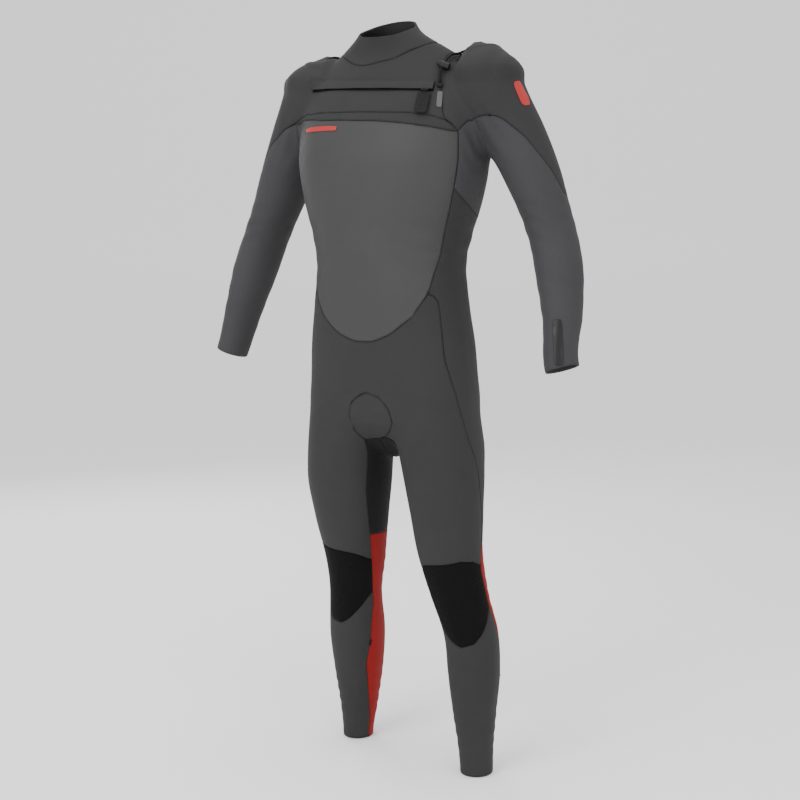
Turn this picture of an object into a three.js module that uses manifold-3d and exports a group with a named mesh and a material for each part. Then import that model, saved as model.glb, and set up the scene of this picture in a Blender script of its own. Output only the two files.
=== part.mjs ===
// A chest-zip full wetsuit on the body that fills it, in millimetres.
// +Z is up, the wearer's left is +X, the wearer faces -Y, and the ankle hems rest at z = 0.
import * as THREE from "three";
import { mergeVertices } from "three/addons/utils/BufferGeometryUtils.js";
import Module from "manifold-3d";

const wasm = await Module();
wasm.setup();

// ---------------------------------------------------------------- driving dimensions
const HEIGHT = 1477; // ankle hems to the back of the collar
const GIRTH = 1; // grading factor of every section across the body and the limbs
const WALL = 4; // neoprene of the body, sleeves and legs
const GAP = 0.3; // clearance between pieces that touch
const SEAM = 0.4; // width of a glued seam between two panels

const COLLAR_RIM = 1459; // height of the collar's rim above the middle of the neck
const COLLAR_SLOPE = 0.44; // rise of the rim for each millimetre towards the back

const ZIP_RADIUS = 440.2; // the chest's surface bends round the zip's axis on this radius
const ZIP_CENTRE = [16, 364, 1338]; // a point on the axis that the zip bends round
const ZIP_TILT = 3; // degrees that the wearer's left end hangs lower
const ZIP_LEAN = 30; // degrees that the chest leans back along the zip
const ZIP_TO_RIGHT = 23; // degrees from the middle of the bend to the wearer's right-hand end
const ZIP_TO_LEFT = 14.2;
const SLOT_WIDTH = 14; // opening in the neoprene that the zip closes
const CHAIN_WIDTH = 3.9; // one half of the zip's chain, with its bead
const CHAIN_THICKNESS = 2;
const BLADE_ROOM = 1.4; // space between the chain's two halves for the slider's blade
const TAPE_WIDTH = 12; // under the neoprene on each side
const TAPE_THICKNESS = 1;
const TAPE_DEPTH = 9; // below the neoprene's outside, clear of its inside
const TAPE_ROOM = 0.8; // round the tape where the neoprene makes way for it
const SLIDER_LENGTH = 13;
const SLIDER_WIDTH = 8.6;
const SLIDER_PLATE = 0.9;
const SLIDER_AT = 12.4; // degrees from the middle of the bend with the zip closed
const LUG_LENGTH = 2;
const PIN_DIAMETER = 1.6;
const STRAP_WIDTH = 24;
const STRAP_LENGTH = 46;
const STRAP_THICKNESS = 2;
const STRAP_LIFT = 2.6; // the strap clears the chest's mean surface by this much
const FLAP_THICKNESS = 1.6;
const FLAP_ABOVE = 16; // how far the cover flap reaches above the zip's middle line
const FLAP_BELOW = 5; // and below it

const CORD_DIAMETER = 5;
const CORD_BORE = 6.4; // hole for the cord through its lock
const LOCK_DIAMETER = 14;
const LOCK_LENGTH = 20;
const BUTTON_DIAMETER = 9;
const BUTTON_TRAVEL = 3;
const SPRING_WIRE = 0.8;

const BADGE_THICKNESS = 0.8;
const STRIP_LIFT = 0.7; // glued strips and badges stand this far off the neoprene
const TAB_LIFT = 1.8; // and the tabs at the cord's ends

const SLOT_DEPTH = 22; // how far in the slot is cut
const SEAM_DEPTH = 26; // a seam cuts this far past the inside, where panels meet at a crease
const SEAM_PROUD = 7; // and stands this far out of the neoprene
const SEAM_STEP = 14; // how closely a seam is laid on the body
const SEAM_STRAY = 3; // how far its wall may leave that line, and turn, between rings
const SEAM_TWIST = 30;
const FACET = 1.7; // the inside's flat facets lie up to this much deeper than the neoprene is thick

// ---------------------------------------------------------------- materials
const tone = (name, color, roughness, metalness = 0) =>
  Object.assign(new THREE.MeshStandardMaterial({ color, roughness, metalness }), { name });
const JERSEY_DARK = () => tone("jersey_dark", 0x464646, 0.85);
const JERSEY_LIGHT = () => tone("jersey_light", 0x525154, 0.85);
const JERSEY_BLACK = () => tone("jersey_black", 0x252526, 0.9);
const SMOOTH_SKIN = () => tone("smooth_skin", 0x575757, 0.55);
const JERSEY_RED = () => tone("jersey_red", 0xa02825, 0.85);
const KNEE_RUBBER = () => tone("knee_rubber", 0x1a1a1b, 0.7);
const BLACK_PLASTIC = () => tone("black_plastic", 0x151515, 0.45);
const STEEL = () => tone("spring_steel", 0xb5b5b8, 0.35, 1);
const WEBBING = () => tone("webbing", 0x1b1b1b, 0.8);
const PRINT_RED = () => tone("print_red", 0xe12d28, 0.6);

// ---------------------------------------------------------------- body form
// The pattern is drawn for this height, and every height in it is graded by UP, every width by OUT.
const PATTERN_HEIGHT = 1477;
const UP = HEIGHT / PATTERN_HEIGHT;
const OUT = GIRTH;
const at = (x, y, z) => new THREE.Vector3(x * OUT, y * OUT, z * UP);

// One row for each station: distance along the limb, centre across and in depth, half width
// outwards and inwards, half depth to the front and to the back, and how square the section is.
const torsoRow = (z, y, half, front, back, square) => [z, 0, y, half, half, front, back, square];
const TORSO = [
  torsoRow(628, 15, 28, 30, 40, 2),
  torsoRow(655, 10, 85, 55, 75, 2),
  torsoRow(700, 0, 152, 92, 110, 2.2),
  torsoRow(760, 0, 174, 104, 120, 2.3),
  torsoRow(840, 0, 172, 112, 108, 2.3),
  torsoRow(920, 0, 162, 118, 88, 2.3),
  torsoRow(1000, 0, 154, 120, 84, 2.3),
  torsoRow(1060, 0, 162, 120, 104, 2.4),
  torsoRow(1120, 0, 178, 124, 122, 2.5),
  torsoRow(1190, 0, 192, 126, 130, 2.5),
  torsoRow(1260, 5, 194, 118, 118, 2.5),
  torsoRow(1320, 12, 186, 98, 100, 2.4),
  torsoRow(1360, 16, 170, 80, 88, 2.3),
  torsoRow(1395, 16, 140, 66, 76, 2.2),
  torsoRow(1420, 8, 102, 60, 68, 2.1),
  torsoRow(1442, -4, 68, 58, 60, 2),
  torsoRow(1530, -22, 60, 56, 56, 2),
];
const armRow = (share, out, inner, front, back) => [share, 0, 0, out, inner, front, back, 2];
const ARM = [
  armRow(-0.13, 30, 30, 35, 35),
  armRow(-0.06, 56, 50, 62, 62),
  armRow(0.05, 63, 55, 68, 69),
  armRow(0.18, 59, 55, 64, 64),
  armRow(0.32, 52, 52, 60, 59),
  armRow(0.47, 45, 46, 54, 51),
  armRow(0.54, 45, 44, 53, 50),
  armRow(0.66, 46, 43, 54, 47),
  armRow(0.82, 40, 36, 46, 39),
  armRow(1, 33, 30, 39, 34),
];
const SHOULDER = { left: at(198, 22, 1330), right: at(-196, 22, 1320) };
const ELBOW = { left: at(320, 40, 1073), right: at(-325, 42, 1073) };
const WRIST = { left: at(372, -18, 812), right: at(-380, -18, 816) };
const LEFT_LEG = [
  [0, 187, 8, 32, 32, 34, 37, 2],
  [50, 185, 8, 34, 34, 37, 41, 2],
  [120, 181, 8, 42, 41, 45, 53, 2],
  [200, 178, 8, 50, 49, 52, 68, 2],
  [280, 173, 3, 53, 50, 56, 68, 2],
  [360, 153, -5, 58, 56, 60, 60, 2],
  [440, 136, -10, 64, 64, 66, 64, 2],
  [520, 129, -12, 71, 72, 74, 74, 2],
  [600, 118, -8, 79, 78, 82, 86, 2.1],
  [660, 105, 0, 84, 82, 88, 96, 2.1],
  [740, 90, 0, 84, 80, 86, 102, 2.1],
  [820, 80, 0, 70, 60, 70, 80, 2],
];
const RIGHT_LEG = [
  [0, -131, 76, 31, 31, 33, 36, 2],
  [68, -125, 70, 38, 38, 40, 44, 2],
  [155, -121, 60, 49, 49, 50, 64, 2],
  [240, -117, 48, 55, 55, 56, 72, 2],
  [326, -107, 30, 53, 53, 56, 58, 2],
  [410, -100, 18, 62, 62, 66, 64, 2],
  [495, -102, 8, 75, 76, 78, 78, 2],
  [580, -101, 2, 82, 86, 88, 90, 2.1],
  [660, -96, 0, 82, 86, 90, 98, 2.1],
  [740, -88, 0, 80, 84, 88, 104, 2.1],
  [820, -80, 0, 60, 70, 70, 80, 2],
];

// The shoulders are joined by a limb of their own across the back, from upper arm to upper arm.
const girdleRow = (x, z, back, front, down, up, square) => [x, 22, z, back, front, down, up, square];
const GIRDLE = [
  girdleRow(-232, 1312, 40, 35, 40, 30, 2),
  girdleRow(-205, 1312, 70, 58, 60, 54, 2.2),
  girdleRow(-150, 1316, 78, 66, 64, 56, 2.3),
  girdleRow(0, 1318, 70, 70, 60, 50, 2.3),
  girdleRow(150, 1320, 78, 66, 64, 58, 2.3),
  girdleRow(205, 1318, 70, 58, 60, 56, 2.2),
  girdleRow(232, 1318, 40, 35, 40, 30, 2),
];

// A smooth row between stations: a cubic whose slope is level wherever a value turns round.
function rowAt(rows, w) {
  const last = rows.length - 1;
  const i = Math.max(0, Math.min(last - 1, rows.findIndex((r, k) => k === last || w < rows[k + 1][0])));
  const step = (k) => rows[k + 1][0] - rows[k][0];
  const rise = (k, c) => (rows[k + 1][c] - rows[k][c]) / step(k);
  const slope = (k, c) => {
    if (k === 0) return rise(0, c);
    if (k === last) return rise(last - 1, c);
    const before = rise(k - 1, c);
    const after = rise(k, c);
    if (before * after <= 0) return 0;
    return (before * step(k) + after * step(k - 1)) / (step(k) + step(k - 1));
  };
  const h = step(i);
  const t = Math.max(0, Math.min(1, (w - rows[i][0]) / h));
  return rows[i].map((v, c) => {
    if (c === 0) return w;
    const [a, b] = [slope(i, c) * h, slope(i + 1, c) * h];
    const d = rows[i + 1][c] - v;
    return v + t * a + t * t * (3 * d - 2 * a - b) + t * t * t * (a + b - 2 * d);
  });
}

const NECK_FROM = 1340; // the neck and shoulder tops need closer rings
const STEEPEST = 2.2; // the most that a slope may stretch an inset
// A limb is a row table on its own axes: u out, v to the back, w along.
function limb(origin, u, v, w, rows) {
  const frame = new THREE.Matrix4().makeBasis(u, v, w).setPosition(origin);
  const inverse = frame.clone().invert();
  const reach = (row, c, s) => {
    const a = c > 0 ? row[3] : row[4];
    const b = s < 0 ? row[5] : row[6];
    return ((Math.abs(c) / a) ** row[7] + (Math.abs(s) / b) ** row[7]) ** (-1 / row[7]);
  };
  // The inset is measured square to the surface, so it grows where the surface slopes.
  const point = (angle, along, inset = 0) => {
    const row = rowAt(rows, along);
    const [c, s] = [Math.cos(angle), Math.sin(angle)];
    const slope = (reach(rowAt(rows, along + 1), c, s) - reach(rowAt(rows, along - 1), c, s)) / 2;
    const r = Math.max(reach(row, c, s) - inset * Math.min(Math.hypot(1, slope), STEEPEST), 1);
    return new THREE.Vector3(row[1] + r * c, row[2] + r * s, along).applyMatrix4(frame);
  };
  const distance = (p) => {
    const q = p.clone().applyMatrix4(inverse);
    const row = rowAt(rows, q.z);
    const [du, dv] = [q.x - row[1], q.y - row[2]];
    const r = Math.hypot(du, dv) + 1e-6;
    const beside = r - reach(row, du / r, dv / r);
    const beyond = Math.max(rows[0][0] - q.z, q.z - rows.at(-1)[0], 0);
    return beyond > 0 ? Math.hypot(Math.max(beside, 0), beyond) : beside;
  };
  return { point, distance, rows, frame };
}

const AXES = [new THREE.Vector3(1, 0, 0), new THREE.Vector3(0, 1, 0), new THREE.Vector3(0, 0, 1)];
const graded = (rows) => rows.map((r) => r.map((v, c) => (c === 0 ? v * UP : c === 7 ? v : v * OUT)));

// The arm's sections lie across the line from shoulder to wrist, and bow out to the elbow.
function armLimb(side) {
  const [s, e, h] = [SHOULDER[side], ELBOW[side], WRIST[side]];
  const w = h.clone().sub(s);
  const length = w.length();
  w.normalize();
  const v = AXES[1].clone().addScaledVector(w, -w.y).normalize();
  const u = new THREE.Vector3().crossVectors(v, w);
  const flip = side === "left" ? Math.sign(u.x) : -Math.sign(u.x);
  u.multiplyScalar(flip);
  const bend = e.clone().sub(s);
  const elbow = bend.dot(w);
  const rows = ARM.map(([share, , , ...size]) => {
    const along = share * length;
    const part = along < elbow ? along / elbow : (length - along) / (length - elbow);
    const bow = Math.sin((Math.PI / 2) * Math.max(0, Math.min(1, part)));
    return [along, bend.dot(u) * bow, bend.dot(v) * bow, ...size.map((n, i) => (i < 4 ? n * OUT : n))];
  });
  return { ...limb(s, u, v, w, rows), length };
}

const ORIGIN = new THREE.Vector3();
const torso = limb(ORIGIN, ...AXES, graded(TORSO));
const legs = {
  left: limb(ORIGIN, ...AXES, graded(LEFT_LEG)),
  right: limb(ORIGIN, ...AXES, graded(RIGHT_LEG)),
};
const arms = { left: armLimb("left"), right: armLimb("right") };
const girdleRows = GIRDLE.map(([x, y, z, ...size]) =>
  [x * OUT, y * OUT, z * UP, ...size.map((n, i) => (i < 4 ? n * OUT : n))]);
const girdle = limb(ORIGIN, AXES[1], AXES[2], AXES[0], girdleRows);
const limbs = [torso, girdle, legs.left, legs.right, arms.left, arms.right];
const bodyDistance = (p) => Math.min(...limbs.map((l) => l.distance(p)));

function bodyNormal(p) {
  const e = 0.5;
  const slope = AXES.map((a) =>
    bodyDistance(p.clone().addScaledVector(a, e)) - bodyDistance(p.clone().addScaledVector(a, -e)));
  return new THREE.Vector3(...slope).normalize();
}

// Moves a point onto the outside of the body form along the form's own normal.
function onBody(p) {
  const q = p.clone();
  for (let i = 0; i < 12; i += 1) q.addScaledVector(bodyNormal(q), -0.8 * bodyDistance(q));
  return q;
}

// ---------------------------------------------------------------- solids
function closedGeometry(points, triangles) {
  const flat = new Float32Array(points.flatMap((p) => [p.x, p.y, p.z]));
  return new THREE.BufferGeometry()
    .setAttribute("position", new THREE.BufferAttribute(flat, 3))
    .setIndex(triangles);
}

function solid(geometry) {
  const bare = new THREE.BufferGeometry().setAttribute("position", geometry.getAttribute("position"));
  if (geometry.index) bare.setIndex(geometry.index);
  const merged = mergeVertices(bare, 1e-3);
  const make = (triVerts) => new wasm.Manifold(new wasm.Mesh({
    numProp: 3,
    vertProperties: merged.getAttribute("position").array,
    triVerts,
  }));
  const index = new Uint32Array(merged.index.array);
  const made = make(index);
  if (made.volume() > 0) return made;
  const turned = index.map((_, i) => index[i - (i % 3) + [0, 2, 1][i % 3]]);
  return make(turned);
}

function geometryOf(made) {
  const mesh = made.getMesh();
  return new THREE.BufferGeometry()
    .setAttribute("position", new THREE.BufferAttribute(new Float32Array(mesh.vertProperties), 3))
    .setIndex(new THREE.BufferAttribute(new Uint32Array(mesh.triVerts), 1))
    .toNonIndexed();
}

// The faces between closed rings of points. A side in crossed is split along its other diagonal.
function sideFaces(rings, closed, crossed = []) {
  const n = rings[0].length;
  const triangles = [];
  for (let i = 0; i + (closed ? 0 : 1) < rings.length; i += 1) {
    for (let j = 0; j < n; j += 1) {
      const next = ((i + 1) % rings.length) * n;
      const [a, b] = [i * n + j, i * n + ((j + 1) % n)];
      const [c, d] = [next + ((j + 1) % n), next + j];
      triangles.push(...(crossed.includes(j) ? [a, b, d, b, c, d] : [a, b, c, a, c, d]));
    }
  }
  return triangles;
}

// The faces that close one ring, seen on the plane that the ring lies nearest to.
function capFaces(ring) {
  const normal = ring.reduce((sum, p, i) =>
    sum.add(new THREE.Vector3().crossVectors(p, ring[(i + 1) % ring.length])), new THREE.Vector3()).normalize();
  const u = ring[1].clone().sub(ring[0]);
  u.addScaledVector(normal, -u.dot(normal)).normalize();
  const v = new THREE.Vector3().crossVectors(normal, u);
  return THREE.ShapeUtils.triangulateShape(ring.map((p) => new THREE.Vector2(p.dot(u), p.dot(v))), []);
}

// Rings joined side to side, with both ends closed.
function ringSolid(rings, crossed) {
  const last = (rings.length - 1) * rings[0].length;
  const triangles = sideFaces(rings, false, crossed);
  capFaces(rings[0]).forEach(([a, b, c]) => triangles.push(a, c, b));
  capFaces(rings.at(-1)).forEach((face) => triangles.push(...face.map((i) => i + last)));
  return solid(closedGeometry(rings.flat(), triangles));
}

function limbSolid(form, stations, around, inset = 0) {
  const rings = stations.map((along) =>
    Array.from({ length: around }, (_, j) => form.point((2 * Math.PI * j) / around, along, inset)));
  return ringSolid(rings);
}

const spread = (from, to, count) =>
  Array.from({ length: count + 1 }, (_, i) => from + ((to - from) * i) / count);

// Heights for a limb's rings: its own rows, and even steps between rows that lie far apart.
function stations(rows, step) {
  const kept = rows.map((r) => r[0]);
  return kept.flatMap((w, i) => {
    if (i === kept.length - 1) return [w];
    const gap = kept[i + 1] - w;
    const finest = w > NECK_FROM * UP ? step / 2.5 : step;
    return spread(w, kept[i + 1], Math.max(1, Math.round(gap / finest))).slice(0, -1);
  });
}

// The whole body form, smaller all round by the inset and longer at the open ends by the overrun.
function bodySolid(inset, overrun) {
  const heights = stations(torso.rows, 70);
  heights[0] += inset;
  let whole = limbSolid(torso, heights, 24, inset);
  const across = stations(girdle.rows, 90);
  across[0] += inset;
  across[across.length - 1] -= inset;
  whole = whole.add(limbSolid(girdle, across, 14, inset));
  const below = overrun > 0 ? [-overrun] : [];
  Object.values(legs).forEach((leg) => {
    const rings = stations(leg.rows, 90);
    rings[rings.length - 1] -= inset;
    whole = whole.add(limbSolid(leg, [...below, ...rings], 16, inset));
  });
  Object.values(arms).forEach((arm) => {
    const rings = stations(arm.rows, 90);
    rings[0] += inset;
    const beyond = below.map(() => arm.length + overrun);
    whole = whole.add(limbSolid(arm, [...rings, ...beyond], 14, inset));
  });
  return whole;
}

function boxSolid(size, centre, turn = [0, 0, 0]) {
  const box = new THREE.BoxGeometry(...size);
  box.applyMatrix4(new THREE.Matrix4().makeRotationFromEuler(new THREE.Euler(...turn)));
  return solid(box.translate(...centre));
}

// Everything above the collar's sloping rim.
const rimTilt = Math.atan(COLLAR_SLOPE);
function aboveRim(drop = 0) {
  const depth = 400;
  const middle = [0, -Math.sin(rimTilt) * (depth / 2), COLLAR_RIM * UP - drop + Math.cos(rimTilt) * (depth / 2)];
  return boxSolid([400 * OUT, 600, depth], middle, [rimTilt, 0, 0]);
}

function shell(outerInset, innerInset) {
  const outer = bodySolid(outerInset, 0);
  return outer.subtract(bodySolid(innerInset, 40)).subtract(aboveRim());
}

// ---------------------------------------------------------------- seams
// A seam is a thin wall that stands across the neoprene along a curve on the body.
function seamWall(points, closed = false) {
  const curve = new THREE.CatmullRomCurve3(points, closed, "centripetal");
  const count = Math.max(4, Math.round(curve.getLength() / SEAM_STEP));
  const path = curve.getSpacedPoints(count).slice(0, closed ? count : count + 1).map(onBody);
  const near = (i) => (closed ? (i + path.length) % path.length : Math.max(0, Math.min(path.length - 1, i)));
  const level = (list) => list.map((v, i) =>
    v.clone().add(list[near(i - 1)]).add(list[near(i + 1)]).normalize());
  const normals = level(level(path.map(bodyNormal)));
  path.filter((p) => p.z < 8).forEach((p) => p.setZ(-10)); // a seam that reaches a hem runs out of it
  // The wall needs a ring only where it bends or twists.
  const onward = (i) => path[i % path.length];
  const straight = (from, to) => {
    const chord = new THREE.Line3(onward(from), onward(to));
    const foot = new THREE.Vector3();
    return normals[from].angleTo(normals[to % path.length]) < degrees(SEAM_TWIST)
      && spread(from, to, to - from).every((i) =>
        chord.closestPointToPoint(onward(i), true, foot).distanceTo(onward(i)) < SEAM_STRAY);
  };
  const kept = [0];
  const end = closed ? path.length : path.length - 1;
  while (kept.at(-1) < end) {
    let next = kept.at(-1) + 1;
    while (next < end && straight(kept.at(-1), next + 1)) next += 1;
    kept.push(next);
  }
  if (closed) kept.pop();
  const rings = kept.map((i) => {
    const [before, after, normal, p] = [path[near(i - 1)], path[near(i + 1)], normals[i], path[i]];
    const side = new THREE.Vector3().crossVectors(after.clone().sub(before), normal).normalize();
    const corner = (across, up) =>
      p.clone().addScaledVector(side, (across * SEAM) / 2).addScaledVector(normal, up);
    const [deep, proud] = [-(WALL + SEAM_DEPTH), SEAM_PROUD];
    return [corner(-1, deep), corner(1, deep), corner(1, proud), corner(-1, proud)];
  });
  const parallel = [3]; // the two broad faces twist alike only with matching diagonals
  if (!closed) return ringSolid(rings, parallel);
  return solid(closedGeometry(rings.flat(), sideFaces(rings, true, parallel)));
}

const mirrored = (points) => points.map(([x, y, z]) => [-x, y, z]);
const route = (points) => points.map(([x, y, z]) => at(x, y, z));
const degrees = (d) => (d * Math.PI) / 180;

// A route on a leg by compass angle, where 0 is the outside, 90 the back and -90 the front.
function legRoute(side, marks) {
  return marks.map(([angle, z]) =>
    legs[side].point(degrees(side === "left" ? angle : 180 - angle), z * UP));
}

const CHEST_EDGE = [
  [181, -52, 1292], [178, -61, 1260], [178, -64, 1215], [171, -62, 1147], [160, -62, 1100], [144, -60, 1035],
  [134, -69, 985], [122, -84, 942], [99, -100, 904], [66, -108, 876], [34, -111, 860],
];
const BACK_EDGE = [
  [150, 105, 1290], [142, 112, 1230], [126, 116, 1150], [113, 100, 1070], [107, 86, 1000],
  [112, 84, 930], [112, 98, 865], [90, 114, 805], [45, 122, 770],
];
const seams = {
  collar: seamWall(route([
    [-93, -31, 1404], [-48, -52, 1383], [-12, -54, 1384], [24, -51, 1391], [53, -45, 1400],
    [80, -34, 1412], [94, 0, 1420], [80, 45, 1432], [45, 66, 1439], [0, 72, 1442],
    [-45, 66, 1439], [-80, 45, 1432], [-100, 0, 1415],
  ]), true),
  yoke: seamWall(route([
    [10, -108, 1273], [80, -106, 1266], [140, -89, 1257], [174, -64, 1250], [190, -42, 1272],
    [220, -37, 1281], [253, -30, 1272], [292, -10, 1235], [328, 18, 1180], [350, 45, 1135],
    [338, 80, 1165], [300, 95, 1215], [255, 98, 1262], [220, 98, 1282], [139, 100, 1266],
    [80, 124, 1262], [0, 122, 1260], [-80, 124, 1262], [-139, 100, 1266], [-220, 98, 1275],
    [-255, 98, 1255], [-300, 95, 1208], [-338, 80, 1158], [-350, 45, 1128], [-328, 18, 1172],
    [-292, -10, 1228], [-250, -30, 1260], [-220, -37, 1277], [-188, -43, 1281], [-93, -99, 1277],
    [-38, -107, 1275],
  ]), true),
  flapEdge: seamWall(route([
    [131, 30, 1412], [131, 10, 1412], [129, -14, 1395], [128, -41, 1363], [134, -56, 1335],
    [142, -66, 1310], [147, -72, 1295], [155, -76, 1274], [166, -70, 1262], [180, -58, 1246],
  ])),
  shoulderLeft: seamWall(route([[80, 10, 1430], [105, 12, 1418], [140, 12, 1408]])),
  shoulderRight: seamWall(route([[-80, 10, 1430], [-105, 12, 1418], [-136, 12, 1408], [-150, 12, 1400]])),
  backLeft: seamWall(route([[130, 4, 1412], [140, 55, 1392], [150, 95, 1345], [158, 112, 1300], [166, 114, 1240]])),
  backRight: seamWall(route(mirrored(
    [[130, 4, 1412], [140, 55, 1392], [150, 95, 1345], [158, 112, 1300], [166, 114, 1240]]))),
  band: seamWall(route([
    [-224, -36, 1270], [-186, -43, 1288], [-125, -83, 1293], [-55, -98, 1291], [6, -101, 1289],
    [61, -100, 1287], [113, -91, 1283], [154, -76, 1273], [172, -68, 1262],
  ])),
  back: seamWall(route([...BACK_EDGE, [0, 124, 762], ...mirrored(BACK_EDGE).reverse()])),
  chest: seamWall(route([...CHEST_EDGE, [0, -113, 854], ...mirrored(CHEST_EDGE).reverse()])),
};

// An armhole is a thin wall right through the shoulder between sleeve and body.
function armholeWall(sign) {
  const line = [[188, 1300], [200, 1275], [207, 1238], [216, 1200], [216, 1100]];
  const points = new THREE.SplineCurve(line.map(([x, z]) => new THREE.Vector2(x * OUT, z * UP))).getPoints(16);
  const half = SEAM / 2;
  const outline = [...points.map((p) => [p.x - half, p.y]), ...points.reverse().map((p) => [p.x + half, p.y])];
  const shape = new THREE.Shape(outline.map(([x, z]) => new THREE.Vector2(x * sign, z)));
  const depth = 400;
  const wall = new THREE.ExtrudeGeometry(shape, { depth, bevelEnabled: false });
  return solid(wall.rotateX(Math.PI / 2).translate(0, depth / 2, 0));
}

const sideSeams = (sign) => {
  const side = sign > 0 ? "left" : "right";
  const flip = (points) => (sign > 0 ? points : mirrored(points));
  return {
    armhole: armholeWall(sign),
    sidePanel: seamWall(route(flip([
      [162, -80, 1160], [171, -62, 1146], [175, -50, 1132], [178, 2, 1105], [170, 50, 1088],
      [140, 90, 1072], [100, 105, 1062],
    ]))),
    outer: seamWall([
      ...route(flip([
        [108, -95, 930], [124, -82, 948], [138, -69, 938], [143, -66, 900], [146, -67, 858],
        [153, -60, 808], [166, -46, 757], [175, -37, 702],
      ])),
      ...legRoute(side, [
        [-13, 645], [-1, 588], [6, 520], [14, 462], [1, 422], [3, 370], [9, 338], [15, 314],
        [30, 268], [45, 200], [55, 110], [60, 30], [60, -6],
      ]),
    ]),
    inner: seamWall([
      ...route(flip([[10, -72, 668], [21, -64, 655]])),
      ...legRoute(side, [
        [-145, 625], [-143, 590], [-145, 522], [-152, 466], [-153, 400], [-157, 365], [-164, 330],
        [-160, 270], [-157, 236], [-148, 208], [-142, 165], [-144, 130], [-153, 102], [-161, 56],
        [-168, 20], [-170, -6],
      ]),
    ]),
    redTop: seamWall(legRoute(side, [[4, 460], [40, 461], [90, 461], [140, 461], [180, 461], [215, 461]])),
    kneeTop: seamWall(legRoute(side, [
      [14, 424], [0, 423], [-30, 436], [-52, 434], [-80, 428], [-115, 424], [-152, 406], [-166, 402],
    ])),
    kneeLow: seamWall(legRoute(side, [
      [18, 348], [5, 336], [-24, 300], [-47, 278], [-75, 266], [-94, 268], [-113, 284],
      [-135, 310], [-160, 334], [-172, 344],
    ])),
    innerBack: seamWall([
      ...route(flip([[-8, 96, 690], [14, 92, 682]])),
      ...legRoute(side, [[132, 640], [135, 590], [140, 520], [148, 452]]),
    ]),
  };
};
const bySide = { left: sideSeams(1), right: sideSeams(-1) };

const gussetSeam = seamWall(route([
  [1, -104, 757], [26, -102, 750], [43, -99, 734], [53, -94, 710], [46, -86, 686], [30, -72, 668],
  [8, -62, 654], [-8, -62, 654], [-30, -72, 668], [-42, -90, 692], [-44, -98, 715], [-30, -102, 743],
]), true);
const crotchSeam = boxSolid([SEAM, 220, 90], [0, 20, 645 * UP]);

const boundsText = (p) => {
  const b = p.boundingBox();
  return Math.round(p.volume()) + " mm3 at " + [...b.min, ...b.max].map(Math.round).join(",");
};

// Cuts a piece along seams and names what falls apart by a point that lies in each panel.
const CRUMB = 60; // cubic millimetres: smaller offcuts belong to no panel
function panels(piece, walls, landmarks) {
  const cut = walls.reduce((rest, wall) => rest.subtract(wall), piece);
  const parts = cut.decompose().filter((p) => p.volume() > CRUMB);
  const found = {};
  Object.entries(landmarks).forEach(([name, spot]) => {
    const p = onBody(Array.isArray(spot) ? at(...spot) : spot);
    const probe = boxSolid([10, 10, 10], p.toArray());
    const shares = parts.map((part) => part.intersect(probe).volume());
    const best = shares.indexOf(Math.max(...shares));
    if (shares[best] <= 0) throw new Error(name + " has no panel at its landmark");
    found[name] = parts[best];
  });
  const named = new Set(Object.values(found));
  if (named.size < Object.keys(found).length || named.size < parts.length) {
    const sizes = parts.map((p) => [...named].includes(p) ? "named" : boundsText(p));
    throw new Error("seams leave " + parts.length + " panels for "
      + Object.keys(found).join(", ") + ": " + sizes.join("; "));
  }
  return found;
}

const legSpot = (side, angle, z) => legRoute(side, [[angle, z]])[0];

// ---------------------------------------------------------------- the zip's own frame
// A place is given by degrees round the bend, distance off the chest's mean surface there, and
// distance up the chest, which leans back.
const zipAxis = new THREE.Vector3(Math.sin(degrees(ZIP_TILT)), 0, Math.cos(degrees(ZIP_TILT)));
const zipAcross = new THREE.Vector3(Math.cos(degrees(ZIP_TILT)), 0, -Math.sin(degrees(ZIP_TILT)));
const zipMiddle = at(...ZIP_CENTRE);
const [leanSin, leanCos] = [Math.sin(degrees(ZIP_LEAN)), Math.cos(degrees(ZIP_LEAN))];
function zipSpot(angle, off, up) {
  const turn = degrees(angle);
  const radius = ZIP_RADIUS + off * leanCos - up * leanSin;
  return zipMiddle.clone()
    .addScaledVector(zipAcross, radius * Math.sin(turn))
    .addScaledVector(AXES[1], -radius * Math.cos(turn))
    .addScaledVector(zipAxis, off * leanSin + up * leanCos);
}
const zipTangent = zipAcross.clone().multiplyScalar(Math.cos(degrees(SLIDER_AT)))
  .addScaledVector(AXES[1], Math.sin(degrees(SLIDER_AT)));

// How far the neoprene's outside, or a layer below it, stands off the mean surface.
function skinOff(angle, up, depth = 0) {
  let off = WALL;
  for (let i = 0; i < 20; i += 1) off -= 0.8 * (bodyDistance(zipSpot(angle, off, up)) + depth);
  return off;
}

// A bar along the zip whose section is a list of [distance off, distance up].
function zipBar(from, to, section, steps) {
  return ringSolid(spread(from, to, steps).map((angle) =>
    section.map(([off, up]) => zipSpot(angle, off, up))));
}
const rectangle = (low, high, bottom, top) => [[low, bottom], [high, bottom], [high, top], [low, top]];
const zipDegrees = (length) => (length / ZIP_RADIUS) * (180 / Math.PI);

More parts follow.
